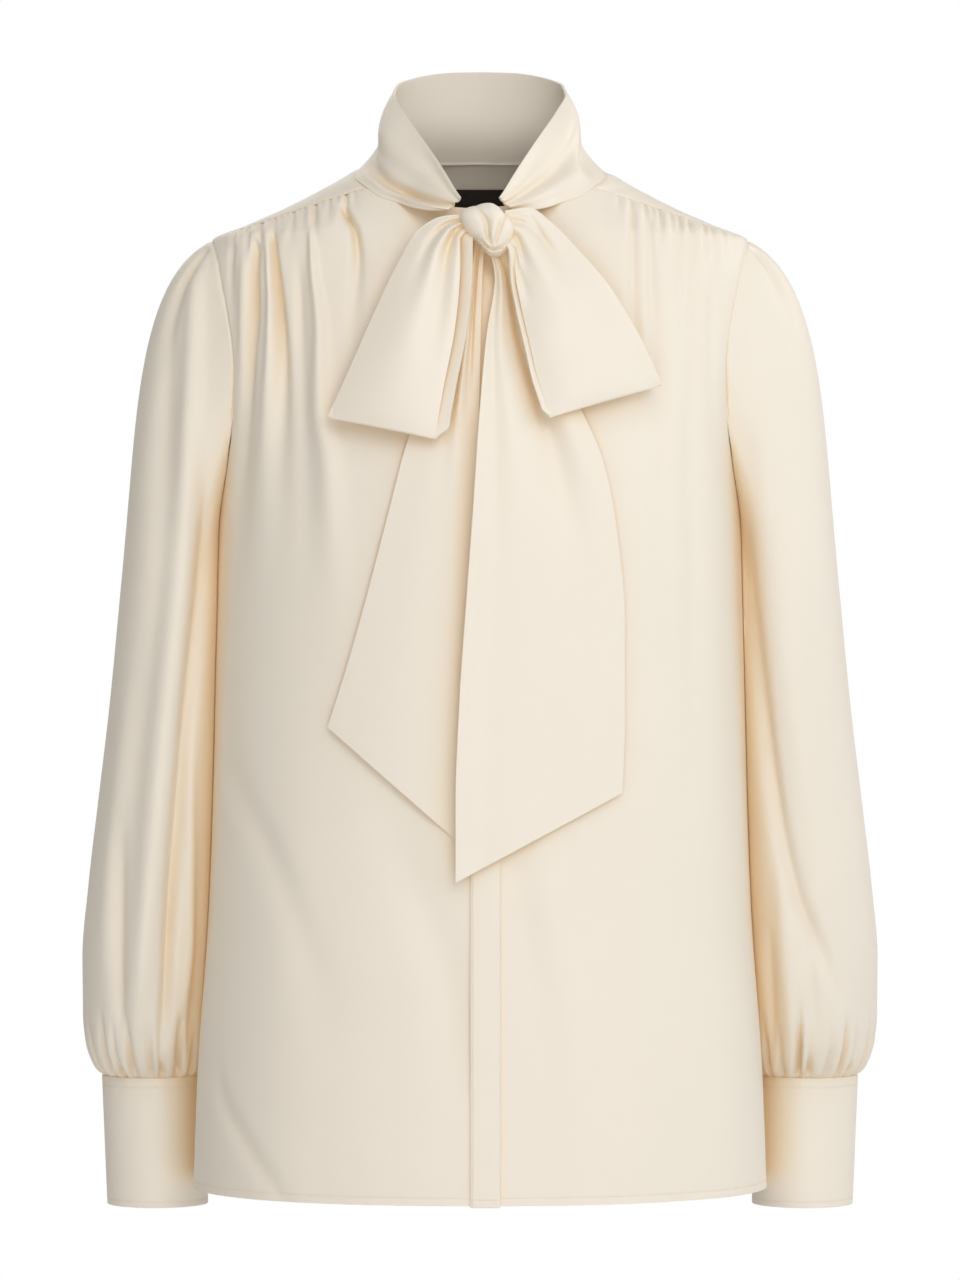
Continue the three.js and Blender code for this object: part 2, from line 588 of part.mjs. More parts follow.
function yokeOuter(share) {
  const frontEnd = YOKE_FRONT_COLUMNS / YOKE_COLUMNS;
  const armEnd = (YOKE_FRONT_COLUMNS + YOKE_ARM_COLUMNS) / YOKE_COLUMNS;
  if (share < frontEnd) {
    const z = lerp(SHOULDER_SEAM.tipZ, SHOULDER_TIP_Z, share / frontEnd);
    return { angle: angleOf(armholeAt.front(z), z, "front"), z };
  }
  if (share < armEnd) {
    const z = lerp(SHOULDER_TIP_Z, YOKE_SEAM_Z, ((share - frontEnd) / (armEnd - frontEnd)) ** 1.5);
    return { angle: angleOf(armholeAt.back(z), z, "back"), z };
  }
  const corner = angleOf(armholeAt.back(YOKE_SEAM_Z), YOKE_SEAM_Z, "back");
  return { angle: lerp(corner, 180, (share - armEnd) / (1 - armEnd)), z: YOKE_SEAM_Z };
}

function yoke() {
  const rows = Array.from({ length: YOKE_ROWS + 1 }, (_, r) => {
    const down = r / YOKE_ROWS;
    return Array.from({ length: 2 * YOKE_COLUMNS + 1 }, (_, i) => {
      const half = 1 - Math.abs(i - YOKE_COLUMNS) / YOKE_COLUMNS;
      const side = i < YOKE_COLUMNS ? -1 : 1;
      const neckAngle = lerp(SHOULDER_SEAM.neckAngle, 180, half);
      const neckZ = half === 0 ? SHOULDER_SEAM.neckZ : necklineAt(neckAngle);
      const outer = yokeOuter(half);
      const place = acrossBody(ringPoint(neckAngle, neckZ), ringPoint(outer.angle, outer.z), down);
      place.x *= side;
      return sample(place, bodyNormal(place), i / (2 * YOKE_COLUMNS));
    });
  });
  return wallGeometry(drawBack(rows), CLOTH);
}

// A sleeve, from the armhole round its cap and down to the gathers at the cuff
const CAP_ROWS = 6;
const CAP_SPACING = 1.25; // over 1 puts the cap's rows closer together at the seam
const UNDERARM_STEP = 2; // the sleeve's edge stands out here, where it folds down over the side seam
const CAP_END_Z = SLEEVE[0].z;
const SLEEVE_LEVELS = [-300, -345, -400, -455, -500];
const GATHERED_LEVELS = [-530, -556, -574, -587];
const CAP_REACH = 90; // the length of cap that these directions are given for
const CAP_LEAVES = { top: [60, 0, -28], under: [8, 0, -52], forward: [6, 14, -42] };
const CAP_MEETS = { out: 12, back: 4, front: 8, down: 70, downAtTop: 40 };
const GATHER = { depth: 2.5, startZ: -505, fullZ: -556, tightZ: -574, endZ: -587, lost: 0.55 };
const FOLDS_END_Z = -560; // the long folds fade from here to the cuff
const PINCH_DRIFT = 0.24; // how far from even a sleeve's gathers are, as a share of their spacing

function sectionPoint(columns, angle, z) {
  const outer = columns.outer(z);
  const inner = columns.inner(z);
  const [s, c] = [Math.sin(radians(angle)), Math.cos(radians(angle))];
  return new THREE.Vector3(
    (outer + inner) / 2 + ((outer - inner) / 2) * c,
    columns.middleY(z) - columns.halfDepth(z) * s,
    z,
  );
}

const SECTION_COLUMNS = ["outer", "inner", "middleY", "halfDepth"];
const columnsOf = (table) =>
  Object.fromEntries(SECTION_COLUMNS.map((column) => [column, curveOf(table, "z", column)]));

function armholePoint(angle) {
  const s = Math.sin(radians(angle));
  const z = lerp(SHOULDER_TIP_Z, UNDERARM_Z, (1 - Math.cos(radians(angle))) / 2);
  const face = s >= 0 ? "front" : "back";
  return facePoint(armholeAt[face](z), z, face);
}

// The angles of the sleeve's columns, each at a point of the piece that it is sewn to
function armholeAngles() {
  const share = (z) => (SHOULDER_TIP_Z - z) / (SHOULDER_TIP_Z - UNDERARM_Z);
  const angle = (z) => THREE.MathUtils.radToDeg(Math.acos(1 - 2 * share(z)));
  const yokeLevels = Array.from(
    { length: YOKE_FRONT_COLUMNS + YOKE_ARM_COLUMNS },
    (_, k) => yokeOuter(k / YOKE_COLUMNS).z,
  );
  const front = SIDE_LEVELS.filter((z) => z >= UNDERARM_Z).map(angle);
  const overFront = yokeLevels.slice(1, YOKE_FRONT_COLUMNS).map(angle);
  const overBack = yokeLevels.slice(YOKE_FRONT_COLUMNS + 1).map((z) => 360 - angle(z));
  const back = BACK_LEVELS.filter((z) => z > UNDERARM_Z).map((z) => 360 - angle(z));
  return [0, ...overFront, ...front, ...back, ...overBack].sort((p, q) => p - q);
}

function sleeveGrid() {
  const columns = columnsOf(SLEEVE);
  const clear = (p, amount) => {
    p.x = Math.max(p.x, bodySideAt(p.y, p.z) + amount);
    return p;
  };
  const pinches = Array.from(
    { length: SLEEVE_GATHERS + 1 },
    (_, k) => (360 * (k + (k % SLEEVE_GATHERS ? PINCH_DRIFT * Math.sin(2.4 * k) : 0))) / SLEEVE_GATHERS,
  );
  const fine = pinches.slice(1).flatMap((to, i) => {
    const from = pinches[i];
    return [0, 0.25, 0.5, 0.75].map((part) => lerp(from, to, part));
  });
  const coarse = armholeAngles();

  const capPoint = (angle, t) => {
    const [s, c] = [Math.sin(radians(angle)), Math.cos(radians(angle))];
    const start = armholePoint(angle);
    const end = sectionPoint(columns, angle, CAP_END_Z);
    const high = (1 + c) / 2;
    const leave = [0, 1, 2].map((k) => {
      const level = lerp(CAP_LEAVES.under[k], CAP_LEAVES.top[k], high);
      return level + CAP_LEAVES.forward[k] * (k === 1 ? s : s * s);
    });
    const arrive = [
      CAP_MEETS.out * c,
      CAP_MEETS.back - CAP_MEETS.front * s,
      -CAP_MEETS.down - CAP_MEETS.downAtTop * high,
    ];
    const [t2, t3] = [t * t, t * t * t];
    const mix = (p, m, q, n) =>
      (2 * t3 - 3 * t2 + 1) * p + (t3 - 2 * t2 + t) * m + (3 * t2 - 2 * t3) * q + (t3 - t2) * n;
    const reach = start.distanceTo(end) / CAP_REACH;
    return clear(
      new THREE.Vector3(
        mix(start.x, leave[0] * reach, end.x, arrive[0] * reach),
        mix(start.y, leave[1] * reach, end.y, arrive[1] * reach),
        mix(start.z, leave[2] * reach, end.z, arrive[2] * reach),
      ),
      t === 0 ? 0 : SLEEVE_CLEARANCE * smooth(0, 0.4, t) * (c < -0.6 ? 1 : 0),
    );
  };
  const lowerPoint = (angle, z) => clear(sectionPoint(columns, angle, z), SLEEVE_CLEARANCE);
  const surface = [
    ...Array.from({ length: CAP_ROWS }, (_, r) => ({
      at: (angle) => capPoint(angle, (r / CAP_ROWS) ** CAP_SPACING),
    })),
    { at: (angle) => lowerPoint(angle, CAP_END_Z) },
    ...[...SLEEVE_LEVELS, ...GATHERED_LEVELS].map((z) => ({ z, at: (angle) => lowerPoint(angle, z) })),
  ];
  return surface.map((row, r) => {
    const gathered = GATHERED_LEVELS.includes(row.z);
    return (gathered ? fine : coarse).map((angle) => {
      const place = row.at(angle);
      const around = row.at(angle + 2).sub(row.at(angle - 2));
      const up = surface[Math.max(0, r - 1)].at(angle);
      const down = surface[Math.min(surface.length - 1, r + 1)].at(angle);
      let normal = around.cross(down.sub(up)).normalize();
      if (r === 0) normal = bodyNormal(place);
      const turned = angle > 180 ? angle - 360 : angle;
      const folds = r > 0 ? foldHeight(SLEEVE_FOLDS, turned, place.z, "topAngle", "bottomAngle") : 0;
      const inside = Math.abs(turned) > 140 ? 0 : 1;
      const full = smooth(GATHER.startZ, GATHER.fullZ, place.z);
      const tight = 1 - GATHER.lost * smooth(GATHER.tightZ, GATHER.endZ, place.z);
      const gather = gathered ? gatherWave(angle, pinches) * GATHER.depth * full * tight : 0;
      const kept = inside * smooth(GATHER.endZ, FOLDS_END_Z, place.z);
      const made = sample(place, normal, angle / 360, folds * kept + gather);
      if (r > 1 && Math.abs(turned) > 110) clear(made.p, SLEEVE_CLEARANCE);
      return made;
    });
  });
}

function sleeve(side) {
  const centre = new THREE.Vector3(halfWidthAt(UNDERARM_Z), 0, (SHOULDER_TIP_Z + UNDERARM_Z) / 2);
  const rows = drawBack(sleeveGrid(), { left: false, right: false, closed: true, centre });
  rows[0].forEach((s) => {
    const turned = s.share > 0.5 ? 1 - s.share : s.share;
    s.p.addScaledVector(s.n, UNDERARM_STEP * smooth(0.2, 0.4, turned));
  });
  rows.flat().forEach((s) => {
    s.p.x *= side;
    s.n.x *= side;
  });
  return wallGeometry(rows, CLOTH, { closed: true });
}

// A cuff: a tube with its ends overlapped and buttoned behind
const CUFF_COLUMNS = 28;

function cuffPoint(angle, z) {
  const place = sectionPoint(columnsOf(CUFF), angle, z);
  const [s, c] = [Math.sin(radians(angle)), Math.cos(radians(angle))];
  return { place, normal: new THREE.Vector3(c, -s, 0).normalize() };
}

function cuff(side) {
  const rows = CUFF.map(({ z }) =>
    Array.from({ length: CUFF_COLUMNS }, (_, i) => {
      const angle = (360 * i) / CUFF_COLUMNS;
      const { place, normal } = cuffPoint(angle, z);
      place.x *= side;
      normal.x *= side;
      return sample(place, normal, i / CUFF_COLUMNS);
    }),
  );
  const edges = { last: false, left: false, right: false, closed: true };
  return wallGeometry(drawBack(rows, edges), CUFF_WALL, { closed: true });
}

function cuffButton(side, z) {
  const { place, normal } = cuffPoint(CUFF_BUTTON.angle, z);
  const lift = CUFF_BUTTON.thickness / 2 + 0.45;
  const mesh = new THREE.Mesh(
    new THREE.CylinderGeometry(CUFF_BUTTON.radius, CUFF_BUTTON.radius * 0.92, CUFF_BUTTON.thickness, 14),
  );
  place.addScaledVector(normal, lift);
  place.x *= side;
  normal.x *= side;
  mesh.position.copy(place);
  mesh.quaternion.setFromUnitVectors(new THREE.Vector3(0, 1, 0), normal);
  return mesh;
}

// The strip that covers the front fastening, laid on the fronts and moved out
function placket() {
  const start = necklineAt(0);
  const levels = SIDE_LEVELS.map((level) => lerp(start, HEM_Z, sideShare(level))).slice(1);
  const rows = levels.map((z) =>
    [0, 0.5, 1].map((share) => {
      const place = facePoint(lerp(PLACKET_LEFT_X, PLACKET_RIGHT_X, share), z, "front");
      const normal = bodyNormal(place);
      return sample(place, normal, share, SEAM_GAP + PLACKET_WALL);
    }),
  );
  rows[rows.length - 1].forEach((s) => (s.p.z -= FRONT_HEM_DROP));
  return wallGeometry(rows, PLACKET_WALL);
}

// The standing collar, round the back of the neck to the knot on both sides
const COLLAR_ANGLES = [6, 12, 20, 30, 42, 55, 68, 82, 98, 114, 130, 147, 163, 180];
const COLLAR_ROWS = 4;
const COLLAR_HOLLOW = -2.5; // how far its sides curve in between the seam and the top edge
const COLLAR_LIFT = 0.1; // off the back of the neckline
const COLLAR_FRONT_LIFT = { out: 1.1, up: 0.9 }; // and off the gathered fronts
const COLLAR_TO_KNOT = { forward: 18, down: 8, inward: 6, from: 14, to: 40 }; // its ends, towards the knot

function collar() {
  const top = Object.fromEntries(["x", "y", "z"].map((c) => [c, curveOf(COLLAR_TOP, "angle", c)]));
  const stations = [
    ...COLLAR_ANGLES.map((angle) => ({ angle, side: -1 })),
    ...COLLAR_ANGLES.slice(0, -1).reverse().map((angle) => ({ angle, side: 1 })),
  ];
  const at = ({ angle, side }, up) => {
    const base = ringPoint(angle, necklineAt(angle));
    const gathered = 1 - smooth(48, 75, angle);
    const off = lerp(COLLAR_LIFT, COLLAR_FRONT_LIFT.out, gathered);
    const lifted = base.addScaledVector(bodyNormal(base), off);
    const forward = 1 - smooth(COLLAR_TO_KNOT.from, COLLAR_TO_KNOT.to, angle);
    lifted.x += COLLAR_TO_KNOT.inward * forward;
    lifted.y -= COLLAR_TO_KNOT.forward * forward;
    lifted.z += lerp(COLLAR_LIFT, COLLAR_FRONT_LIFT.up, gathered) - COLLAR_TO_KNOT.down * forward;
    const p = lifted.lerp(new THREE.Vector3(top.x(angle), top.y(angle), top.z(angle)), up);
    const bow = Math.sin(Math.PI * up) * COLLAR_HOLLOW * smooth(10, 60, angle);
    p.x += bow * Math.sin(radians(angle));
    p.y -= bow * Math.cos(radians(angle));
    p.x *= side;
    return p;
  };
  const rows = Array.from({ length: COLLAR_ROWS + 1 }, (_, r) => {
    const up = r / COLLAR_ROWS;
    return stations.map((station, i) => {
      const place = at(station, up);
      const along = at(stations[Math.min(i + 1, stations.length - 1)], up).sub(
        at(stations[Math.max(i - 1, 0)], up),
      );
      const rise = at(station, Math.min(1, up + 0.1)).sub(at(station, Math.max(0, up - 0.1)));
      const normal = rise.cross(along).normalize();
      return sample(place, normal, i / (stations.length - 1));
    });
  });
  return rows;
}

// A knot of several layers wound round each other, with pleats that run down to the right
function knotGeometry(grow) {
  const ball = new THREE.SphereGeometry(1, 22, 14).deleteAttribute("uv").deleteAttribute("normal");
  const geometry = mergeVertices(ball, 1e-4);
  const p = geometry.getAttribute("position");
  const v = new THREE.Vector3();
  const turn = new THREE.Matrix4().makeRotationY(radians(KNOT.tilt));
  for (let i = 0; i < p.count; i += 1) {
    v.fromBufferAttribute(p, i);
    const n = KNOT.squareness;
    v.divideScalar((Math.abs(v.x) ** n + Math.abs(v.y) ** n + Math.abs(v.z) ** n) ** (1 / n));
    const across = v.x * 0.8 + v.z * 0.6;
    const wave = Math.cos(across * KNOT.pleatCount + 0.6) * (1 - Math.abs(across));
    const pleat = v.y < 0.2 ? KNOT.pleatDepth * wave : 0;
    v.multiplyScalar(1 + pleat);
    v.multiply(new THREE.Vector3(KNOT.radiusX + grow, KNOT.radiusY + grow, KNOT.radiusZ + grow));
    v.applyMatrix4(turn);
    p.setXYZ(i, v.x + KNOT.x, v.y + KNOT.y, v.z + KNOT.z);
  }
  return facingOut(geometry);
}

// A point straight ahead of the front of the body
function offFront(x, z, lift) {
  const place = facePoint(x, z, "front");
  place.y -= lift;
  return place;
}

const withShares = (table) => table.map((row, i) => ({ ...row, along: i / (table.length - 1) }));

// A bow loop: out along its front layer, round the fold at its end, and back along the layer behind
const LOOP_COLUMNS = 7;
const LOOP_STEPS = [0, 0.13, 0.27, 0.4, 0.53, 0.66, 0.78, 0.89, 0.978, 0.992, 1];
const LOOP_FOLD = 0.022; // the share of a loop's length in which its end turns back
const LOOP_SAG = 0.35; // how much nearer its two layers lie along their edges than in the middle
const FRONT_HEM_DROP = 1.2; // the placket's end below the fronts' hem

function loopRows(table) {
  const shared = withShares(table);
  const c = Object.fromEntries(
    ["outerX", "outerZ", "innerX", "innerZ", "lift", "bulge"].map((k) => [k, curveOf(shared, "along", k)]),
  );
  const out = LOOP_STEPS.map((along) => ({ along, sign: 1 }));
  const path = [...out, ...out.slice(0, -1).reverse().map((step) => ({ ...step, sign: -1 }))];
  const at = (step, across) => {
    const round = Math.sqrt(1 - Math.max(0, 1 - (1 - step.along) / LOOP_FOLD) ** 2);
    const x = lerp(c.outerX(step.along), c.innerX(step.along), across);
    const z = lerp(c.outerZ(step.along), c.innerZ(step.along), across);
    const sag = 1 - (2 * across - 1) ** 2 * LOOP_SAG;
    return offFront(x, z, c.lift(step.along) + step.sign * c.bulge(step.along) * round * sag);
  };
  return path.map((step, r) =>
    Array.from({ length: LOOP_COLUMNS + 1 }, (_, i) => {
      const across = i / LOOP_COLUMNS;
      const place = at(step, across);
      const after = path[Math.min(r + 1, path.length - 1)];
      const along = at(after, across).sub(at(path[Math.max(r - 1, 0)], across));
      const over = at(step, Math.min(1, across + 0.1)).sub(at(step, Math.max(0, across - 0.1)));
      const normal = along.cross(over).normalize();
      const facing = normal.dot(bodyNormal(facePoint(place.x, place.z, "front"))) * step.sign;
      if (facing < 0) normal.negate();
      return sample(place, normal, across);
    }),
  );
}

// A tail of the tie, laid on the front of the body
const TAIL_COLUMNS = 8;
const TAIL_STEPS = 12;

function tailRows(table, ripple, drop) {
  const shared = withShares(table);
  const c = Object.fromEntries(
    ["leftX", "leftZ", "rightX", "rightZ", "lift"].map((k) => [k, curveOf(shared, "along", k)]),
  );
  return Array.from({ length: TAIL_STEPS + 1 }, (_, r) => {
    const along = r / TAIL_STEPS;
    return Array.from({ length: TAIL_COLUMNS + 1 }, (_, i) => {
      const across = i / TAIL_COLUMNS;
      const x = lerp(c.leftX(along), c.rightX(along), across);
      const z = lerp(c.leftZ(along), c.rightZ(along), across);
      const low = drop * smooth(0.25, 0.6, across) * smooth(0.2, 0.5, along);
      const pleated = smooth(0, 0.1, along) * (1 - smooth(0.1, 0.7, along));
      const wave = ripple * Math.sin(Math.PI * 3 * across) * pleated;
      const place = offFront(x, z, c.lift(along) - low + wave);
      return sample(place, bodyNormal(facePoint(x, z, "front")), across);
    });
  });
}

// A plain woven label inside the back of the neck
function label() {
  const rows = [0, 1].map((down) =>
    Array.from({ length: 7 }, (_, i) => {
      const x = LABEL.middleX + LABEL.halfWidth * (i / 3 - 1);
      const place = facePoint(x, LABEL.topZ - LABEL.height * down, "back");
      const normal = bodyNormal(place);
      return sample(place, normal, i / 6, -CLOTH - LABEL.behind);
    }),
  );
  return wallGeometry(rows, LABEL.wall);
}

const cloth = new THREE.MeshStandardMaterial({ color: IVORY, roughness: 0.42, metalness: 0 });
const tieCloth = new THREE.MeshStandardMaterial({ color: IVORY, roughness: 0.38, metalness: 0 });
const buttonShell = new THREE.MeshStandardMaterial({ color: BUTTON_IVORY, roughness: 0.25, metalness: 0 });
const labelCloth = new THREE.MeshStandardMaterial({ color: LABEL_BLACK, roughness: 0.5, metalness: 0 });

const blouse = new THREE.Group();
const add = (name, geometryOrMesh, material) => {
  const mesh = geometryOrMesh.isMesh ? geometryOrMesh : new THREE.Mesh(geometryOrMesh);
  mesh.name = name;
  mesh.material = material;
  blouse.add(mesh);
};

const knotClearance = knotGeometry(SEAM_GAP);
const rightTailRows = tailRows(RIGHT_TAIL, 1.2, 0);
const leftTailRows = tailRows(LEFT_TAIL, 1.6, 2.4);
const rightLoopRows = loopRows(RIGHT_LOOP);
const leftLoopRows = loopRows(LEFT_LOOP);
const collarRows = collar();
const clearanceOf = (rows) => wallGeometry(rows, DOUBLED, { grow: SEAM_GAP });

add("front_right", frontPanel(-1, -PLACKET_LEFT_X), cloth);
add("front_left", frontPanel(1, PLACKET_LEFT_X), cloth);
add("front_placket", placket(), cloth);
add("back", backPanel(), cloth);
add("yoke", yoke(), cloth);
add("sleeve_right", sleeve(-1), cloth);
add("sleeve_left", sleeve(1), cloth);
add("cuff_right", cuff(-1), cloth);
add("cuff_left", cuff(1), cloth);
[-1, 1].forEach((side) =>
  CUFF_BUTTON.heights.forEach((z, i) => {
    const name = `cuff_button_${side < 0 ? "right" : "left"}_${i + 1}`;
    add(name, cuffButton(side, z), buttonShell);
  }),
);
add("collar", cut(wallGeometry(collarRows, DOUBLED), knotClearance), tieCloth);
add("tie_knot", knotGeometry(0), tieCloth);
add(
  "bow_loop_right",
  cut(wallGeometry(rightLoopRows, DOUBLED), knotClearance, clearanceOf(collarRows)),
  tieCloth,
);
add(
  "bow_loop_left",
  cut(wallGeometry(leftLoopRows, DOUBLED), knotClearance, clearanceOf(collarRows)),
  tieCloth,
);
add("tie_tail_right", cut(wallGeometry(rightTailRows, DOUBLED), knotClearance), tieCloth);
add("tie_tail_left", cut(wallGeometry(leftTailRows, DOUBLED), knotClearance), tieCloth);
add("neck_label", label(), labelCloth);

export default blouse;
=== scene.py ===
"""An ivory tie-neck blouse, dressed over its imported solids.

Each cut piece of cloth starts as a flat grid, is laid on the same sections as its solid, gets its
folds and gathers, and is then given the thickness of the cloth. The tables hold millimetres, and
MM brings a finished piece to Blender's metres. The wearer's right side is -X and faces the viewer's left.
"""

import math

import bmesh
import bpy
import numpy as np
from mathutils import Matrix, Vector


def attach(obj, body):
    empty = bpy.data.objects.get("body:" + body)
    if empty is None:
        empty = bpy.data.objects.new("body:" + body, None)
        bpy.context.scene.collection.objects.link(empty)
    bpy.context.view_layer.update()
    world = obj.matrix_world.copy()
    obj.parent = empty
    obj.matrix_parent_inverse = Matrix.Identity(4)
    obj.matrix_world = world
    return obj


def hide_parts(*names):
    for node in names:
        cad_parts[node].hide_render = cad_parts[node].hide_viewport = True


bl_info = {
    "name": "Tie-neck blouse",
    "version": (1, 0, 0),
    "blender": (4, 5, 0),
    "location": "3D View > Sidebar > Blouse",
    "description": "Dresses the packed solids of a blouse in cloth, stitching and buttons",
    "category": "Object",
}

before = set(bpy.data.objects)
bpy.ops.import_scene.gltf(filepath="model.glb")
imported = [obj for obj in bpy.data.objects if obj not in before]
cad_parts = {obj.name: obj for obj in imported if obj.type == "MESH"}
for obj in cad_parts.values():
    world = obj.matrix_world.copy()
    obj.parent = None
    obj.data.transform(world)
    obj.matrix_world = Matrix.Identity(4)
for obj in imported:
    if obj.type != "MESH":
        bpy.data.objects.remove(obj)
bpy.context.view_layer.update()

MM = 0.001


def table(names, *rows):
    """A table with named columns, as one array for each column."""
    return {name: np.array([row[i] for row in rows], float) for i, name in enumerate(names.split())}


# The form that the cloth is laid on, as the solids have it
SQUARENESS = 2.2  # exponent of the body's sections: 2 is an ellipse
HEM_Z = -656.5
UNDERARM_Z = -220
SHOULDER_TIP_Z = -34
YOKE_SEAM_Z = -105
PLACKET_LEFT_X = -6.3
PLACKET_RIGHT_X = 12.7
SEAM_NECK_ANGLE, SEAM_NECK_Z, SEAM_TIP_Z = 41, -2.5, -37
NECK_SHARE = 0.3  # of a front's columns run from the neckline
NECK_BEND = 0.9
CAP_END_Z = -262
SLEEVE_END_Z = -587.9
CUFF_TOP_Z = -587.5
CUFF_BOTTOM_Z = -674

BODY = table(
    "z half_width front back",
    (30, 52, 44, 56), (23, 63, 52, 61.5), (15, 77, 59, 68), (2, 100, 67, 76), (-12, 127, 73, 83),
    (-24, 154, 78, 88), (-34, 177, 82, 91), (-60, 185, 93, 98), (-90, 183, 103.5, 104),
    (-120, 178, 114, 107.5), (-155, 173, 123, 108.5), (-190, 171, 128, 106.5),
    (-220, 172, 129, 105), (-300, 174, 127.5, 100), (-400, 176, 127, 99),
    (-470, 178.5, 128, 102), (-580, 186, 131.5, 110), (-660, 189, 134, 115),
)
NECKLINE = table(
    "angle z",
    (0, -18), (15, -16), (28, -10.5), (41, -2.5), (58, 5), (75, 11), (90, 14.5), (120, 18.5),
    (150, 22), (180, 23),
)
ARMHOLE = table(
    "z front back",
    (-34, 177, 177), (-37, 175.6, 176), (-47, 172.3, 173.5), (-66, 168.5, 170.5),
    (-85, 164.7, 168), (-104, 161.7, 166), (-122, 160.3, 165), (-150, 161, 165),
    (-180, 164.5, 166.5), (-205, 169, 169.5), (-220, 172, 172),
)
SLEEVE = table(
    "z outer inner middle_y half_depth",
    (-262, 237.5, 166, 10, 57), (-340, 245.5, 167, 17, 58), (-400, 253, 168, 23, 58),
    (-460, 260.5, 169, 30, 59), (-510, 265, 171, 37, 59), (-542, 265, 174, 42, 56),
    (-564, 262, 178, 46, 50), (-578, 257.5, 181, 49, 43), (-587, 252.5, 184.5, 51, 36),
)
CUFF = table(
    "z outer inner middle_y half_depth",
    (CUFF_TOP_Z, 253, 184, 51, 36.5), (-630, 251, 183, 52.5, 35.5),
    (CUFF_BOTTOM_Z, 249.6, 182.2, 54, 35.5),
)
COLLAR_TOP = table(
    "angle x y z",
    (6, 13, -99, -13), (16, 22, -84, 3), (32, 37, -55, 28), (55, 50.5, -26, 50), (80, 57, -2, 63.5),
    (105, 55.5, 19, 71), (135, 41, 38, 78.5), (160, 20, 46.5, 82.3), (180, 0, 49, 83),
)
LOOPS = {
    "right": table(
        "outer_x outer_z inner_x inner_z lift bulge",
        (-8, -24, -7, -34, 25, 1.5), (-24, -25.5, -12.5, -42, 25, 2.4),
        (-39.5, -34, -12.5, -57, 21, 4.4), (-51.5, -53.6, -13.5, -76, 17.5, 6),
        (-66, -84, -16.5, -102, 14.5, 6.8), (-82, -121, -23, -136, 14, 5.8),
        (-93.5, -147.5, -27, -160, 13.5, 4.6), (-97, -155.5, -27.5, -170, 13, 2.2),
    ),
    "left": table(
        "outer_x outer_z inner_x inner_z lift bulge",
        (16, -22, 15, -36, 25, 1.5), (31, -20, 22, -49, 24.5, 2.4), (45, -28.5, 23, -66, 21, 4),
        (62, -46, 26.5, -86, 18, 5.6), (80, -67, 31.5, -108, 17, 6.2), (98, -95, 37, -132, 14, 5.4),
        (112, -124, 42.5, -149, 13.5, 4.4), (116, -134.5, 44, -156, 13, 2.2),
    ),
}
TAILS = {
    "right": table(
        "left_x left_z right_x right_z lift",
        (-9, -40, 3, -42, 14), (-12, -62, 1.5, -64, 9.5), (-20, -95, 0.5, -100, 6.4),
        (-33, -140, -0.5, -150, 4.6), (-46, -170, -1.5, -200, 4.4), (-58, -215, -3.5, -262, 4.4),
        (-73, -272, -7, -330, 4.4), (-87.5, -322, -11.5, -385, 4.4),
        (-97.5, -352.5, -15.5, -424, 4.4),
    ),
    "left": table(
        "left_x left_z right_x right_z lift",
        (5, -44, 17, -44, 16), (9.5, -66, 25, -66, 9.5), (4, -104, 40, -100, 7.4),
        (-0.5, -155, 62, -145, 7), (-4.5, -215, 79, -185, 7), (-8.5, -270, 88, -232, 7),
        (-13, -335, 92.5, -285, 7), (-15.5, -400, 92.5, -345, 7), (-15.5, -451, 91, -394.5, 7),
    ),
}

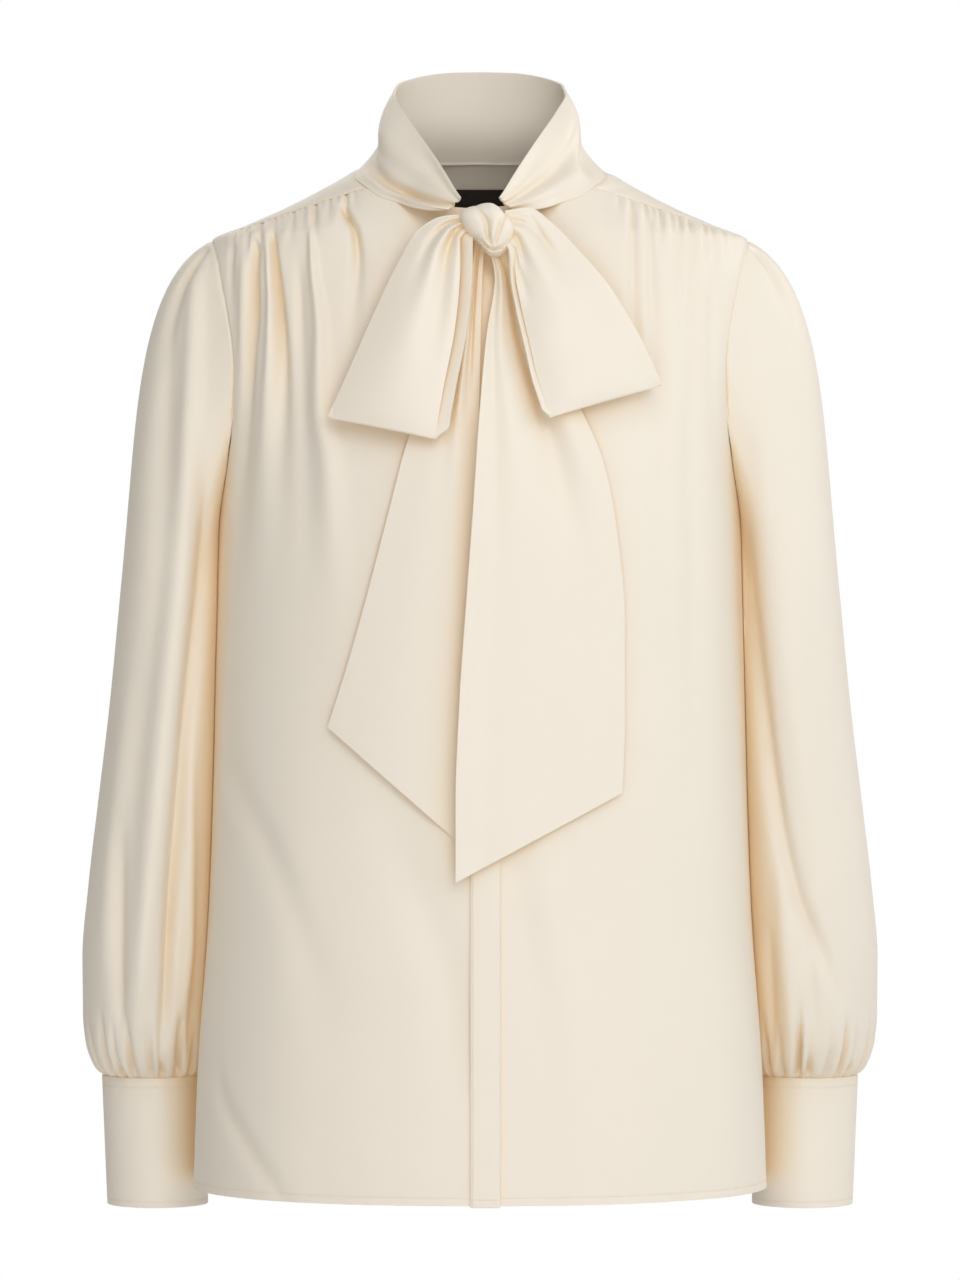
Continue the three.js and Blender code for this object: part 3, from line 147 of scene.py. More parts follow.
# Folds. Each is a line down the cloth: its height, its distance from the middle, how far it stands
# out (or in, where it is negative) and its breadth.
FOLD = "z at rise breadth"
FRONT_FOLDS = {
    "right": (
        table(FOLD, (-32, 147, 0, 1.6), (-45, 146, -5, 2.1), (-82, 146.5, -7.6, 2.9),
              (-115, 150, -7, 3.7), (-144, 152, -5.4, 4.6), (-205, 156, -2.6, 7), (-270, 158, 0, 9)),
        table(FOLD, (-36, 138, 0, 1.8), (-52, 136, 2.8, 2.4), (-82, 134.5, 4.2, 3.2),
              (-115, 135, 4.2, 4), (-174, 138, 2.4, 6.4), (-240, 140, 0, 10)),
        table(FOLD, (-28, 136, 0, 1.6), (-40, 134, -4.4, 2), (-60, 132, -6.8, 2.5),
              (-82, 130, -7.6, 3), (-115, 128, -6.8, 4.2), (-144, 128, -5, 5.6),
              (-200, 129, -2, 9), (-270, 129, 0, 12)),
        table(FOLD, (-26, 110, 0, 1.6), (-40, 108.5, 3.2, 2.2), (-61, 107, 4.6, 3), (-103, 102.5, 5.4, 4.6),
              (-144, 102.5, 4.8, 6), (-181, 97, 4, 7.4), (-240, 94, 1.6, 10), (-320, 92, 0, 14)),
        table(FOLD, (-46, 117, 0, 3), (-80, 116, -2.4, 3.6), (-120, 115, -2.6, 5), (-180, 113, -2, 7),
              (-270, 110, 0, 10)),
        table(FOLD, (-10, 92, 0, 1.6), (-18, 88, -5, 1.9), (-33, 81, -5.6, 2.5), (-52, 79, -4.2, 3.6),
              (-82, 81, -2.4, 5.6), (-130, 84, 0, 8)),
        table(FOLD, (-38, 153, 0, 2), (-60, 153, 2, 3), (-100, 154.5, 2.4, 4), (-150, 158, 1.2, 5),
              (-210, 161, 0, 6)),
        table(FOLD, (-36, 160, 0, 2), (-50, 162, -3, 2.6), (-90, 163, -2.4, 3.6), (-130, 162, 0, 5)),
        table(FOLD, (-390, 66, 0, 20), (-450, 42, -2.6, 16), (-520, 18, -2.4, 15), (-600, 8, 0, 16)),
        table(FOLD, (-360, 118, 0, 16), (-470, 122, 1.6, 20), (-600, 128, 1.2, 24), (-700, 130, 1, 24)),
        table(FOLD, (-350, 167, 0, 9), (-389, 158, -1.8, 9), (-446, 129, -2.6, 11), (-500, 110, -1.8, 13),
              (-560, 96, 0, 16)),
        table(FOLD, (-566, 173, 0, 5), (-592, 168, -2, 5), (-615, 155, -2.8, 6), (-641, 137, -2.2, 7),
              (-668, 118, 0, 8)),
    ),
    "left": (
        table(FOLD, (-13, 98, 0, 2.2), (-30, 98.5, -2, 2.8), (-73, 99, -2.6, 4), (-140, 101, -1.2, 7),
              (-200, 103, 0, 10)),
        table(FOLD, (-20, 110, 0, 2), (-40, 110.5, -2, 2.6), (-70, 111, -2.4, 3.6),
              (-150, 114, -2, 6), (-270, 115, -1.2, 9), (-340, 116, 0, 12)),
        table(FOLD, (-24, 125, 0, 2), (-45, 126, -1.8, 3), (-90, 129, -1.8, 5),
              (-160, 131, -0.8, 8), (-230, 132, 0, 8)),
        table(FOLD, (-28, 138, 0, 2), (-50, 138, -2, 3.4), (-110, 138, -2.4, 5),
              (-200, 137, -2, 7), (-376, 138, -1, 9), (-440, 138, 0, 12)),
        table(FOLD, (-36, 153, 0, 2), (-55, 152, -1.8, 3), (-120, 150, -1.4, 5), (-200, 152, 0, 8)),
        table(FOLD, (-420, 30, 0, 18), (-480, 42, 2.4, 16), (-560, 58, 2, 16), (-640, 66, 0.4, 18)),
        table(FOLD, (-400, 20, 0, 12), (-450, 26, -2.2, 12), (-520, 40, -2, 13), (-600, 52, 0, 14)),
        table(FOLD, (-380, 118, 0, 18), (-500, 124, -2, 18), (-700, 132, -1.8, 22)),
    ),
}
BACK_FOLDS = (
    table(FOLD, (-120, -112, 0, 10.8), (-190, -114, -3.6, 14.4), (-420, -118, -6, 19.8),
          (-700, -124, -5.1, 23.4)),
    table(FOLD, (-110, -50, 0, 10.8), (-240, -52, 3.9, 18), (-460, -55, 5.4, 23.4), (-700, -58, 4.5, 25.2)),
    table(FOLD, (-108, -18, 0, 8), (-170, -14, -2.4, 9), (-330, 2, -4.5, 18), (-700, 8, -5.4, 23.4)),
    table(FOLD, (-110, 60, 0, 10.8), (-260, 64, 4.2, 19.8), (-480, 68, 5.1, 23.4), (-700, 72, 4.2, 25.2)),
    table(FOLD, (-120, 114, 0, 10.8), (-200, 118, -3.6, 14.4), (-430, 122, -5.7, 19.8),
          (-700, 126, -4.8, 21.6)),
    table(FOLD, (-150, 142, 0, 8), (-220, 140, 2.7, 9), (-300, 136, 1.8, 12.6), (-400, 134, 0, 14.4)),
    table(FOLD, (-150, -142, 0, 8), (-215, -139, 3, 9), (-310, -134, 1.8, 12.6), (-410, -132, 0, 14.4)),
)

# Short gathers under the front shoulder seams: their distance from the middle, depth and run
GATHER = "at depth run"
SEAM_GATHERS = {
    "right": table(GATHER, (82, 1.3, 12), (87.5, 3.4, 18), (93, 1.6, 10), (98, 2.3, 14), (103, 1.3, 10),
                   (107.5, 3.6, 20), (114.5, 2.6, 16), (118, 1.6, 12), (122, 2.9, 18), (126, 1.6, 12),
                   (130, 2.3, 16), (134, 3.1, 20), (138.5, 1.6, 12), (143, 3.4, 24), (147, 1.6, 10),
                   (151.5, 2.9, 20), (156, 1.8, 14), (161, 1.6, 14)),
    "left": table(GATHER, (90, 1.3, 14), (98, 1.8, 20), (107.5, 2.2, 24), (112, 1.6, 16), (117, 2.3, 28),
                  (124.5, 2, 18), (129.5, 2.2, 24), (136, 2.1, 20), (146.5, 2.5, 30), (151, 2, 18),
                  (159, 2, 20), (165, 1.3, 12)),
}
SEAM_GATHER_BREADTH = 1.3

# Folds of the sleeves' fronts and backs, and the tucks in their caps, by distance from the middle
SLEEVE_FOLDS = {
    "right": {
        "front": (
            table(FOLD, (-36, 172, 0, 2), (-43, 181, -4, 2.4), (-57, 191, -5, 3), (-69, 197, -4, 3.6),
                  (-95, 203, -2.4, 4.6), (-130, 207, 0, 7)),
            table(FOLD, (-90, 202, 0, 5), (-150, 205, -2.4, 7), (-245, 209, -2, 10), (-349, 221, -1.8, 11),
                  (-453, 233, -1.4, 9), (-540, 240, 0, 6)),
            table(FOLD, (-40, 176, 0, 3), (-69, 186, 3, 5), (-108, 187, 4.6, 7), (-173, 190, 5.4, 7.6),
                  (-245, 195, 6, 8), (-303, 201, 6.4, 8.6), (-349, 206, 6.8, 9), (-401, 211, 7.2, 9.4),
                  (-453, 216, 7.2, 9), (-505, 221, 5.8, 8), (-560, 226, 0, 6)),
            table(FOLD, (-180, 178, 0, 4), (-245, 181, -4, 4.6), (-336, 190, -6.4, 5), (-420, 198, -7.6, 4.8),
                  (-466, 202, -8.4, 4.2), (-531, 206, -6.4, 3.8), (-570, 210, 0, 4)),
            table(FOLD, (-440, 184, 0, 4), (-500, 185, -3, 4), (-533, 187.5, -3.4, 3.6),
                  (-562, 193, -2, 3), (-580, 196, 0, 3)),
            table(FOLD, (-330, 187, 0, 3), (-404, 190, 2.2, 3.4), (-492, 190, 2.8, 3.2), (-540, 195, 1.8, 3),
                  (-574, 198, 0, 3)),
            table(FOLD, (-400, 236, 0, 4), (-470, 237, -3.2, 4.6), (-530, 237, -3.6, 4.4),
                  (-570, 236, 0, 4)),
            table(FOLD, (-300, 228, 0, 6), (-380, 236, 1.6, 6), (-460, 245, 1.8, 6), (-540, 250, 0, 5)),
        ),
        "back": (
            table(FOLD, (-40, 176, 0, 3), (-60, 190, -2, 4), (-110, 204, 0, 7)),
            table(FOLD, (-90, 190, 0, 6), (-200, 196, 2.6, 9), (-360, 208, 3.4, 10), (-500, 218, 3, 9),
                  (-560, 222, 0, 6)),
            table(FOLD, (-200, 216, 0, 6), (-330, 224, -3, 8), (-480, 236, -3.4, 8), (-560, 238, 0, 6)),
            table(FOLD, (-260, 182, 0, 5), (-400, 188, -3, 7), (-520, 196, -3, 6), (-570, 200, 0, 5)),
        ),
    },
    "left": {
        "front": (
            table(FOLD, (-35, 170, 0, 2), (-41, 180, -3.4, 2.4), (-60, 194, -3.6, 3), (-84, 201, -1.8, 4.6),
                  (-115, 205, 0, 7)),
            table(FOLD, (-60, 180, 0, 4), (-110, 184, 1.8, 7), (-200, 186, 2.2, 9), (-300, 196, 2, 10),
                  (-420, 220, 1.8, 10), (-520, 236, 0, 8)),
            table(FOLD, (-200, 172, 0, 4), (-258, 176, -3, 5), (-336, 184, -4.8, 5.4), (-401, 193, -5.4, 5.4),
                  (-466, 208, -5, 5.4), (-505, 226, -3.2, 5.4), (-540, 238, 0, 6)),
            table(FOLD, (-440, 196, 0, 5), (-490, 200, 2.6, 6), (-540, 204, 2.2, 5), (-575, 208, 0, 4)),
            table(FOLD, (-480, 190, 0, 3), (-520, 191, -2.4, 4), (-560, 194, -2, 3), (-580, 196, 0, 3)),
            table(FOLD, (-470, 216, 0, 4), (-520, 218, -2, 4.4), (-560, 222, -1.4, 4), (-580, 222, 0, 3)),
        ),
        "back": (
            table(FOLD, (-40, 176, 0, 3), (-62, 192, -2, 4), (-112, 205, 0, 7)),
            table(FOLD, (-100, 192, 0, 6), (-220, 200, -2.6, 8), (-380, 214, -3.4, 9), (-500, 226, -3, 8),
                  (-560, 230, 0, 6)),
            table(FOLD, (-180, 186, 0, 6), (-330, 196, 3, 9), (-480, 208, 3.4, 9), (-560, 212, 0, 6)),
            table(FOLD, (-300, 236, 0, 6), (-420, 246, 2, 7), (-540, 250, 0, 6)),
        ),
    },
}

# Distances of the cuffs' two stitched rows from their top and bottom edges
CUFF_STITCH_ROWS = {"first": 6.4, "last": 4}

# How a sleeve's cap leaves the armhole, and how it meets the sleeve below
CAP_REACH = 90
CAP_LEAVES = {"top": (60, 0, -28), "under": (8, 0, -52), "forward": (6, 14, -42)}
CAP_MEETS = {"out": 12, "back": 4, "front": 8, "down": 70, "down_at_top": 40}
CAP_SPACING = 1.25
UNDERARM_STEP = 2
SLEEVE_CLEARANCE = 0.6
SLEEVE_GATHERS = 24
PINCH_DRIFT = 0.24
GATHER_DEPTH = {"mean": 3.4, "swing": 1.9}
GATHER_RUN = {"mean": 36, "swing": 24}

# Creases of the collar, by the angle round the neck and the share of its height
CREASE = "angle up rise breadth"
COLLAR_CREASES = {
    "right": (
        table(CREASE, (5, 0.4, -2, 0.12), (12, 0.34, -4, 0.1), (22, 0.25, -5.6, 0.075),
              (34, 0.23, -5.6, 0.065), (48, 0.2, -3.6, 0.07), (62, 0.2, -1.4, 0.1), (76, 0.2, 0, 0.12)),
        table(CREASE, (5, 0.12, 0.8, 0.1), (14, 0.1, 1.8, 0.06), (26, 0.09, 2.2, 0.05),
              (42, 0.08, 1.6, 0.05), (60, 0.08, 0, 0.06)),
        table(CREASE, (14, 0.72, 0, 0.15), (30, 0.62, 2.4, 0.15), (52, 0.56, 1.8, 0.18), (80, 0.56, 0, 0.25)),
        table(CREASE, (8, 0.8, -1.2, 0.08), (18, 0.84, -1.6, 0.1), (34, 0.86, 0, 0.12)),
        table(CREASE, (60, 0.3, 0, 0.1), (72, 0.34, -1.4, 0.1), (86, 0.42, -1, 0.12), (104, 0.5, 0, 0.14)),
    ),
    "left": (
        table(CREASE, (5, 0.55, -1.6, 0.1), (12, 0.55, -2.8, 0.1), (24, 0.52, -3.6, 0.11),
              (40, 0.52, -3, 0.12), (56, 0.6, -2, 0.12), (76, 0.7, 0, 0.16)),
        table(CREASE, (5, 0.28, 0.8, 0.1), (18, 0.28, 2.2, 0.12), (34, 0.28, 2, 0.13), (52, 0.28, 0, 0.2)),
        table(CREASE, (40, 0.16, 0, 0.1), (52, 0.24, -2, 0.09), (66, 0.36, -1.6, 0.09), (80, 0.46, 0, 0.1)),
        table(CREASE, (60, 0.2, 0, 0.08), (70, 0.26, -1.4, 0.07), (84, 0.36, -0.8, 0.08), (96, 0.44, 0, 0.1)),
        table(CREASE, (7, 0.8, -0.8, 0.08), (20, 0.8, -1.4, 0.1), (36, 0.82, 0, 0.12)),
    ),
}
COLLAR_HOLLOW = -2.5
COLLAR_LIFT = -0.2
COLLAR_STAND = 0.13  # how far the collar rises before it leans in
COLLAR_FRONT_LIFT = {"out": 0.5, "up": -0.2}
COLLAR_TO_KNOT = {"forward": 18, "down": 4, "outward": 3, "start": 8, "end": 24}

# Pleats of the bow: the share of its length, the share of its width, the rise and the breadth
PLEAT = "along across rise breadth"
LOOP_PLEATS = {
    "right": (
        table(PLEAT, (0, 0.6, -1.6, 0.1), (0.12, 0.66, -4.6, 0.09), (0.26, 0.66, -4.4, 0.1),
              (0.42, 0.7, -3, 0.12), (0.66, 0.76, 0, 0.15)),
        table(PLEAT, (0, 0.3, -1.4, 0.1), (0.14, 0.3, -3.4, 0.08), (0.34, 0.32, -2.4, 0.09),
              (0.56, 0.34, 0, 0.16)),
        table(PLEAT, (0.04, 0.48, 1, 0.1), (0.2, 0.48, 2.6, 0.12), (0.5, 0.48, 2.2, 0.2), (0.9, 0.5, 0, 0.3)),
        table(PLEAT, (0.05, 0.9, 1, 0.1), (0.2, 0.92, 1.8, 0.1), (0.5, 0.95, 2, 0.12), (0.86, 1, 0, 0.14)),
        table(PLEAT, (0.1, 0, 0, 0.12), (0.3, 0.04, -1, 0.18), (0.6, 0, -1, 0.2), (0.95, 0, -0.4, 0.2)),
    ),
    "left": (
        table(PLEAT, (0, 0.4, -1.4, 0.1), (0.14, 0.34, -3, 0.08), (0.34, 0.28, -2, 0.09),
              (0.5, 0.26, 0, 0.14)),
        table(PLEAT, (0.1, 0.12, 0, 0.06), (0.22, 0.2, -2.4, 0.07), (0.36, 0.3, -1.8, 0.08),
              (0.52, 0.38, 0, 0.12)),
        table(PLEAT, (0.2, -0.02, 0, 0.08), (0.4, -0.02, 2.4, 0.08), (0.8, -0.02, 2.6, 0.08),
              (1, 0, 1, 0.08)),
        table(PLEAT, (0.08, 1.02, 0, 0.08), (0.22, 0.94, -2.8, 0.07), (0.34, 0.88, -2, 0.07),
              (0.46, 0.84, 0, 0.08)),
        table(PLEAT, (0, 0.75, -1.4, 0.1), (0.16, 0.74, -2.8, 0.08), (0.4, 0.76, 0, 0.14)),
        table(PLEAT, (0.1, 0.56, 1, 0.1), (0.3, 0.52, 2.4, 0.14), (0.6, 0.5, 1.6, 0.25), (1, 0.5, 0, 0.3)),
        table(PLEAT, (0.4, 1, 0, 0.1), (0.66, 1, -1.4, 0.14), (0.95, 1, -0.8, 0.14)),
    ),
}
TAIL_PLEATS = {
    "right": (
        table(PLEAT, (0, 0.36, -1.6, 0.1), (0.08, 0.34, -4, 0.08), (0.24, 0.4, -3.4, 0.08),
              (0.42, 0.5, -1.2, 0.1), (0.56, 0.55, 0, 0.14)),
        table(PLEAT, (0, 0.7, -1.4, 0.09), (0.08, 0.68, -3.6, 0.06), (0.24, 0.72, -2.8, 0.05),
              (0.4, 0.78, 0, 0.1)),
        table(PLEAT, (0.06, 0.52, 1, 0.1), (0.28, 0.58, 2.2, 0.1), (0.5, 0.62, 1, 0.14),
              (0.7, 0.66, 0, 0.16)),
        table(PLEAT, (0.3, 0.94, 0, 0.1), (0.46, 0.94, -2.8, 0.14), (0.7, 0.94, -3.2, 0.17),
              (0.96, 0.95, -2.6, 0.14)),
        table(PLEAT, (0.3, 0.3, 0, 0.2), (0.6, 0.4, 1.2, 0.24), (1, 0.45, 0.4, 0.24)),
    ),
    "left": (
        table(PLEAT, (0, 0.5, -1.6, 0.12), (0.12, 0.6, -3.6, 0.1), (0.24, 0.58, -5.6, 0.1),
              (0.36, 0.62, -5.8, 0.1), (0.48, 0.66, -4, 0.11), (0.64, 0.72, -1, 0.14), (0.8, 0.76, 0, 0.18)),
        table(PLEAT, (0.06, 0.24, 1, 0.12), (0.22, 0.24, 3.2, 0.14), (0.4, 0.3, 2.8, 0.16),
              (0.6, 0.36, 1, 0.2), (0.76, 0.4, 0, 0.24)),
        table(PLEAT, (0.26, 0.86, 0, 0.08), (0.4, 0.86, 1.8, 0.1), (0.6, 0.9, 1, 0.12), (0.8, 0.9, 0, 0.14)),
        table(PLEAT, (0.14, 0, 0, 0.08), (0.3, 0, 4.4, 0.1), (0.6, 0, 6.6, 0.12), (0.85, 0, 6.6, 0.12),
              (1, 0, 3.4, 0.1)),
    ),
}
TAIL_SINK = 2.4  # how far the left tail's free side sinks towards the body
LOOP_PEEK = {"right": 8, "left": -4}  # how far the back layer shows past the front one
LOOP_FOLD = 0.022
LOOP_SAG = 0.8

# The knot: its outline as seen from in front, round its centre, and its creases
KNOT_CENTRE = (5, -105, -34)
KNOT_DEPTH = {"front": 13.5, "back": 9}
KNOT_OUTLINE = table(
    "angle radius",
    (0, 17.2), (25, 15.6), (47, 14.6), (80, 16.8), (117, 16.6), (145, 20.6), (155, 19.8), (168, 17),
    (190, 13.6), (214, 11), (244, 11.4), (262, 14.6), (276, 17.8), (294, 19.4), (323, 17.6), (349, 17.5),
)
KNOT_CREASES = (
    table(FOLD, (-20, -3, -0.6, 2), (-25, 1, -1.8, 2), (-31, 4.2, -2.8, 1.8), (-39, 5, -2.8, 1.5),
          (-45, 7, -1.4, 1.3), (-48, 8, 0, 1)),
    table(FOLD, (-19, 17, -0.6, 1.6), (-24, 15.8, -2.2, 1.8), (-32, 13.2, -2.6, 1.5), (-42, 10, -2, 1.2),
          (-46, 9, 0, 1)),
    table(FOLD, (-20, 6, 0.4, 3), (-28, 9.5, 1.4, 2.6), (-38, 8, 1.4, 2), (-45, 8, 0, 2)),
)
KNOT_GROOVE = table(
    "x z depth", (0.5, -42, 1), (3.6, -45, 2.6), (8, -47.6, 3), (13, -46.6, 2.4), (18, -42.4, 0)
)
KNOT_GROOVE_BREADTH = 0.9

LABEL = {"middle_x": 4, "half_width": 28, "top_z": 7, "height": 24, "behind": 2.75}
BUTTON = {"radius": 5.5, "thickness": 2.4, "angle": -72, "heights": (-608, -650), "lift": 0.45}
CUFF_LAP = {"start": -82, "end": -62, "tuck": 2.5, "settle": 20}

# Rows stand closer together beside a seam, at these distances from it
SEAM_STEPS = (0, 0.5, 1.1, 1.9, 3, 4.4)
SEAM_DIP, SEAM_BREADTH = 0.55, 1.3
HEM_STITCH = 5
HEM_STEPS = (0, 0.8, 2.2, 3.8, 4.5, 5, 5.5, 6.4, 8)
STITCH_DIP, STITCH_BREADTH = 0.16, 0.6


# Arithmetic on arrays of places
def smooth(start, end, value):
    t = np.clip((value - start) / (end - start), 0, 1)
    return t * t * (3 - 2 * t)


def lerp(start, end, share):
    return start + (end - start) * share


def stack(*parts):
    return np.stack(np.broadcast_arrays(*parts), axis=-1).astype(float)


def unit(vectors):
    return vectors / np.maximum(np.linalg.norm(vectors, axis=-1, keepdims=True), 1e-12)


def powered(value, power):
    return np.sign(value) * np.abs(value) ** power


def curve(rows, column, by="z"):
    """A smooth curve through one column of a table, with no overshoot between its rows."""
    order = np.argsort(rows[by])
    keys, values = rows[by][order], rows[column][order]
    slopes = np.diff(values) / np.diff(keys)
    before, after = slopes[:-1], slopes[1:]
    same_way = before * after > 0
    middle = np.where(same_way, 2 * before * after / np.where(same_way, before + after, 1), 0)
    tangents = np.concatenate([slopes[:1], middle, slopes[-1:]])

    def at(place):
        place = np.clip(place, keys[0], keys[-1])
        i = np.clip(np.searchsorted(keys, place, side="right") - 1, 0, len(keys) - 2)
        step = keys[i + 1] - keys[i]
        t = (place - keys[i]) / step
        t2, t3 = t * t, t * t * t
        return (
            (2 * t3 - 3 * t2 + 1) * values[i]
            + (t3 - 2 * t2 + t) * step * tangents[i]
            + (3 * t2 - 2 * t3) * values[i + 1]
            + (t3 - t2) * step * tangents[i + 1]
        )

    return at


half_width_at = curve(BODY, "half_width")
front_at = curve(BODY, "front")
back_at = curve(BODY, "back")
neckline_at = curve(NECKLINE, "z", by="angle")
armhole_at = {"front": curve(ARMHOLE, "front"), "back": curve(ARMHOLE, "back")}


# The body's surface
def ring_point(angle, z):
    """A place by its angle round the section: 0 is the front, and 90 is +X."""
    sine, cosine = np.sin(np.radians(angle)), np.cos(np.radians(angle))
    depth = np.where(cosine > 0, front_at(z), back_at(z))
    power = 2 / SQUARENESS
    return stack(half_width_at(z) * powered(sine, power), -depth * powered(cosine, power), z)


def face_point(x, z, face):
    """A place by its distance from the middle, in front or behind."""
    share = np.minimum(1, np.abs(x) / half_width_at(z))
    depth = -front_at(z) if face == "front" else back_at(z)
    return stack(x, depth * (1 - share**SQUARENESS) ** (1 / SQUARENESS), z)


def angle_of(x, z, face):
    share = np.minimum(1, np.abs(x) / half_width_at(z))
    angle = np.degrees(np.arcsin(share ** (SQUARENESS / 2)))
    return angle if face == "front" else 180 - angle


def fullness(places):
    x, y, z = np.moveaxis(places, -1, 0)
    depth = np.where(y < 0, front_at(z), back_at(z))
    return (np.abs(x) / half_width_at(z)) ** SQUARENESS + (np.abs(y) / depth) ** SQUARENESS


def body_gradient(places):
    step = 0.5
    ways = np.eye(3) * step
    return np.stack([fullness(places + way) - fullness(places - way) for way in ways], -1) / (2 * step)


def body_normal(places):
    return unit(body_gradient(places))


def across_body(start, end, share):
    """A share of the way between two places of the body, brought out to its surface."""
    share = np.asarray(share, float)[..., None]
    places = start + (end - start) * share
    straight = places.copy()
    for _ in range(6):
        gradient = body_gradient(places)
        short = (1 - fullness(places)) / np.sum(gradient**2, axis=-1)
        places = places + gradient * short[..., None]
    return np.where((share <= 0) | (share >= 1), straight, places)


def body_side_at(y, z):
    depth = np.where(y < 0, front_at(z), back_at(z))
    share = np.minimum(1, np.abs(y) / depth)
    return half_width_at(z) * (1 - share**SQUARENESS) ** (1 / SQUARENESS)


# Shaping laid cloth
def spaced(length, count, first=SEAM_STEPS, last=SEAM_STEPS, dense=None):
    """Shares of a length, evenly spaced but for the stated distances from its two ends.

    A dense start is a reach and a count of closer steps that fill it.
    """
    start, end = np.array(first, float), length - np.array(last[::-1], float)
    if dense:
        reach, close = dense
        start = np.concatenate([start, np.linspace(start[-1], reach, close + 1)[1:]])
    low = start[-1] if len(start) else 0
    high = end[0] if len(end) else length
    middle = np.linspace(low, high, count)
    if len(start):
        middle = middle[1:]
    if len(end):
        middle = middle[:-1]
    return np.concatenate([start, middle, end]) / length


def line_height(lines, across, down, by="z", at="at"):
    """The height that a set of folds gives to places, by the way across and down the cloth."""
    total = np.zeros(np.broadcast(across, down).shape)
    for line in lines:
        off = (across - curve(line, at, by)(down)) / curve(line, "breadth", by)(down)
        total += curve(line, "rise", by)(down) * np.exp(-off * off)
    return total


def edge_distances(places):
    """How far each place of a grid is from its first and last rows and columns, along the cloth."""
    along = np.linalg.norm(np.diff(places, axis=0), axis=-1)
    across = np.linalg.norm(np.diff(places, axis=1), axis=-1)
    first = np.concatenate([np.zeros((1, places.shape[1])), np.cumsum(along, axis=0)])
    left = np.concatenate([np.zeros((places.shape[0], 1)), np.cumsum(across, axis=1)], axis=1)
    return {"first": first, "last": first[-1:] - first, "left": left, "right": left[:, -1:] - left}


def pucker(run, seed):
    """A small uneven wave along a seam."""
    return (
        np.sin(run / 1.9 + seed)
        + 0.7 * np.sin(run / 1.13 + 2.1 * seed)
        + 0.8 * np.sin(run / 3.7 + 0.6 * seed)
    )


def seam_relief(places, seams, hems=(), puckers=0.1, seed=1.0):
    """Draws cloth down into its seams, marks the line of its hem stitches and puckers both a little."""
    distances = edge_distances(places)
    runs = {"first": distances["left"], "last": distances["left"],
            "left": distances["first"], "right": distances["first"]}
    relief = np.zeros(places.shape[:2])
    for i, edge in enumerate(seams):
        away = distances[edge]
        relief = np.minimum(relief, -SEAM_DIP * np.exp(-((away / SEAM_BREADTH) ** 2)))
        wave = pucker(runs[edge], seed + i)
        relief += puckers * wave * np.exp(-away / 5) * smooth(0, 1.5, away)
    for i, edge in enumerate(hems):
        away = distances[edge]
        relief -= STITCH_DIP * np.exp(-(((away - HEM_STITCH) / STITCH_BREADTH) ** 2))
        relief += puckers * 0.7 * pucker(runs[edge], seed + 3 + i) * np.exp(-((away - HEM_STITCH) / 5) ** 2)
    return relief


def grid_normals(places, outward, around=False):
    """Normals of a grid of places, on the side that the rough outward directions show."""
    if around:
        across = np.roll(places, -1, axis=1) - np.roll(places, 1, axis=1)
    else:
        across = np.gradient(places, axis=1)
    normals = unit(np.cross(across, np.gradient(places, axis=0)))
    return normals if np.sum(normals * outward) > 0 else -normals


def raised(places, normals, heights):
    return places + normals * np.asarray(heights)[..., None]


# Making pieces
def deselect():
    bpy.ops.object.select_all(action="DESELECT")


def apply_modifiers(piece):
    bpy.context.view_layer.objects.active = piece
    for modifier in list(piece.modifiers):
        bpy.ops.object.modifier_apply(modifier=modifier.name)


def lay_sheet(name, places, outward, thickness, around=False, edge=0.35):
    """A flat grid, laid at the given places, given its thickness inwards and its edges rounded."""
    if around:
        places = np.concatenate([places, places[:, :1]], axis=1)
    rows, columns = places.shape[:2]
    deselect()
    bpy.ops.mesh.primitive_grid_add(x_subdivisions=columns - 1, y_subdivisions=rows - 1, size=1)
    piece = bpy.context.object
    piece.name = piece.data.name = name
    mesh = piece.data
    if len(mesh.vertices) != rows * columns:
        raise RuntimeError(f"{name}: the grid has {len(mesh.vertices)} points, not {rows * columns}")
    mesh.vertices.foreach_set("co", (places * MM).ravel())
    lay_pattern(mesh, places)
    mesh.update()
    facing = np.empty(len(mesh.polygons) * 3)
    mesh.polygons.foreach_get("normal", facing)
    first_corner = np.array([polygon.vertices[0] for polygon in mesh.polygons])
    if around:
        outward = np.concatenate([outward, outward[:, :1]], axis=1)
    if np.sum(facing.reshape(-1, 3) * outward.reshape(-1, 3)[first_corner]) < 0:
        mesh.flip_normals()
    if around:
        join_doubles(mesh)
    wall = piece.modifiers.new("cloth thickness", "SOLIDIFY")
    wall.thickness, wall.offset = thickness * MM, -1
    if edge:
        turned = piece.modifiers.new("turned edge", "BEVEL")
        turned.width, turned.segments = edge * MM, 2
        turned.limit_method, turned.angle_limit = "ANGLE", math.radians(62)
    apply_modifiers(piece)
    finish_smooth(piece)
    return piece


def lay_pattern(mesh, places):
    """The piece's own pattern: a UV map in metres along its grain."""
    distances = edge_distances(places)
    pattern = np.stack([distances["left"], distances["first"]], axis=-1).reshape(-1, 2) * MM
    corner = np.empty(len(mesh.loops), dtype=int)
    mesh.loops.foreach_get("vertex_index", corner)
    mesh.uv_layers.active.data.foreach_set("uv", pattern[corner].ravel())


def join_doubles(mesh):
    working = bmesh.new()
    working.from_mesh(mesh)
    bmesh.ops.remove_doubles(working, verts=working.verts, dist=1e-6)
    working.to_mesh(mesh)
    working.free()


def finish_smooth(piece, angle=62):
    deselect()
    piece.select_set(True)
    bpy.context.view_layer.objects.active = piece
    bpy.ops.object.shade_smooth_by_angle(angle=math.radians(angle))


def place_on_body(piece, material, node=None):
    piece.data.materials.clear()
    piece.data.materials.append(material)
    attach(piece, "root")
    if node:
        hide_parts(node)


